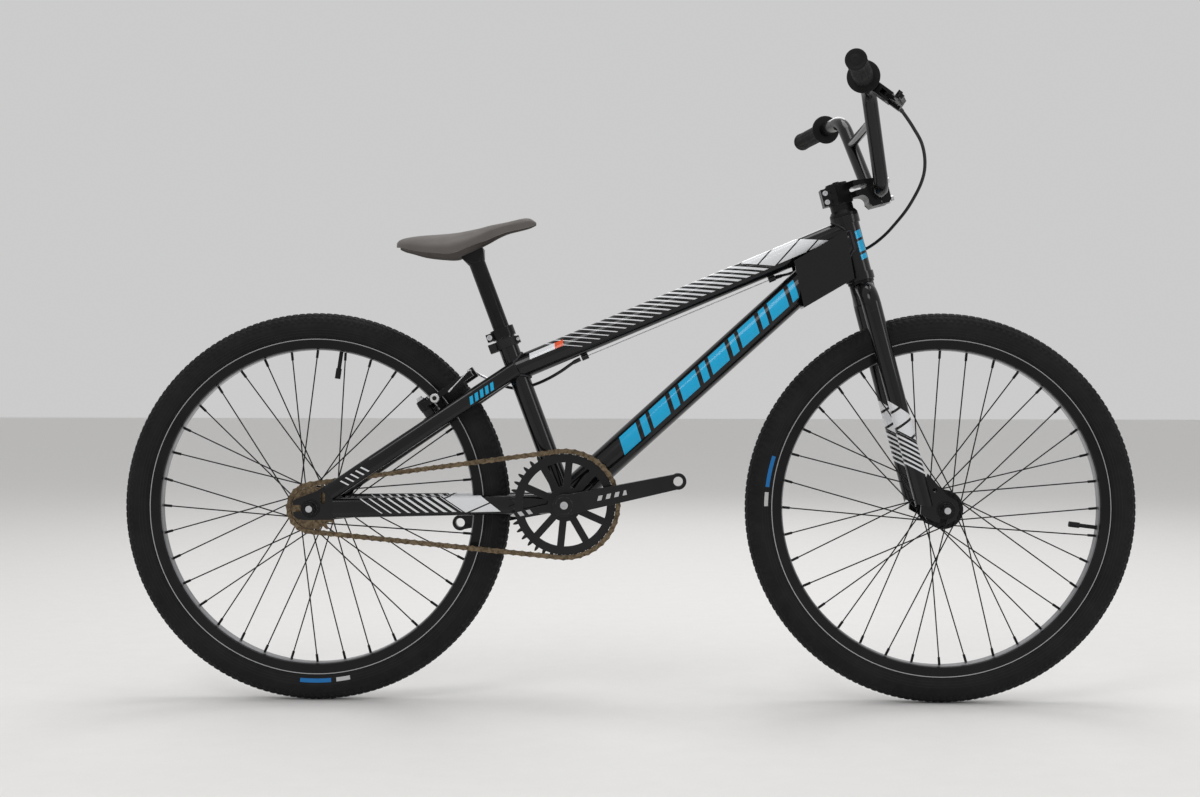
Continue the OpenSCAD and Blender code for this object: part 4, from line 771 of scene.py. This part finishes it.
class BMX_OT_stage(bpy.types.Operator):
    """Lays the pale floor and sets the lamps and the camera."""

    bl_idname = "bmx.stage"
    bl_label = "Stage"

    def execute(self, context):
        scene = context.scene
        mesh = bpy.data.meshes.new("floor")
        reach = 30.0
        mesh.from_pydata([(-reach, -reach, 0), (reach, -reach, 0), (reach, reach, 0), (-reach, reach, 0)],
                         [], [(0, 1, 2, 3)])
        floor = bpy.data.objects.new("floor", mesh)
        scene.collection.objects.link(floor)
        wear(floor, Finish("pale_floor").build((0.78, 0.77, 0.76), (0.6, 0.8), grain=(300.0, 0.02),
                                               vary=0.01))
        lamps = (("key", (-1.4, -3.2, 3.4), 1.6, 0.6), ("top", (0.3, 0.4, 3.8), 2.0, 0.8),
                 ("fill", (3.4, -1.8, 1.8), 1.0, 0.15), ("back", (0.4, 3.4, 3.0), 2.0, 0.5))
        for name, place, size, share in lamps:
            light = bpy.data.lights.new(name, "AREA")
            light.size = size
            light.energy = looks().light_power * share
            lamp = bpy.data.objects.new(name, light)
            lamp.location = place
            lamp.rotation_euler = (Vector((0, 0, 0.45)) - Vector(place)).to_track_quat("-Z", "Y").to_euler()
            scene.collection.objects.link(lamp)
        world = bpy.data.worlds.new("studio")
        world.use_nodes = True
        world.node_tree.nodes["Background"].inputs[0].default_value = (1.0, 1.0, 1.0, 1.0)
        world.node_tree.nodes["Background"].inputs[1].default_value = 0.6
        scene.world = world
        scene.view_settings.view_transform = "Standard"
        data = bpy.data.cameras.new("camera")
        data.sensor_width = 36.0
        data.lens = 49.32
        data.clip_end = 100.0
        camera = bpy.data.objects.new("camera", data)
        yaw, pitch, roll = math.radians(1.30), math.radians(-0.13), math.radians(0.09)
        turned = (Matrix.Rotation(yaw, 4, "Z") @ Matrix.Rotation(math.pi / 2 + pitch, 4, "X")
                  @ Matrix.Rotation(roll, 4, "Z"))
        camera.matrix_world = Matrix.Translation((0.015, -2.539, 0.472)) @ turned
        scene.collection.objects.link(camera)
        scene.camera = camera
        return {"FINISHED"}


OPERATORS = (BMX_OT_finishes, BMX_OT_tyres, BMX_OT_grips, BMX_OT_saddle, BMX_OT_cables, BMX_OT_brake_nuts,
             BMX_OT_welds, BMX_OT_stage)


class BMX_PT_panel(bpy.types.Panel):
    """Lists the bike's pieces and its settings."""

    bl_idname = "BMX_PT_panel"
    bl_label = "BMX bike"
    bl_space_type = "VIEW_3D"
    bl_region_type = "UI"
    bl_category = "BMX"

    def draw(self, context):
        for key in BmxLooks.__annotations__:
            self.layout.prop(context.scene.bmx_looks, key)
        for operator in OPERATORS:
            self.layout.operator(operator.bl_idname)


CLASSES = (BmxLooks, *OPERATORS, BMX_PT_panel)


def register():
    for cls in CLASSES:
        bpy.utils.register_class(cls)
    bpy.types.Scene.bmx_looks = bpy.props.PointerProperty(type=BmxLooks)


def unregister():
    del bpy.types.Scene.bmx_looks
    for cls in reversed(CLASSES):
        bpy.utils.unregister_class(cls)


def main():
    """Makes everything in order."""
    register()
    for name in ("finishes", "tyres", "grips", "saddle", "cables", "brake_nuts", "welds", "stage"):
        getattr(bpy.ops.bmx, name)()


if __name__ == "__main__":
    main()
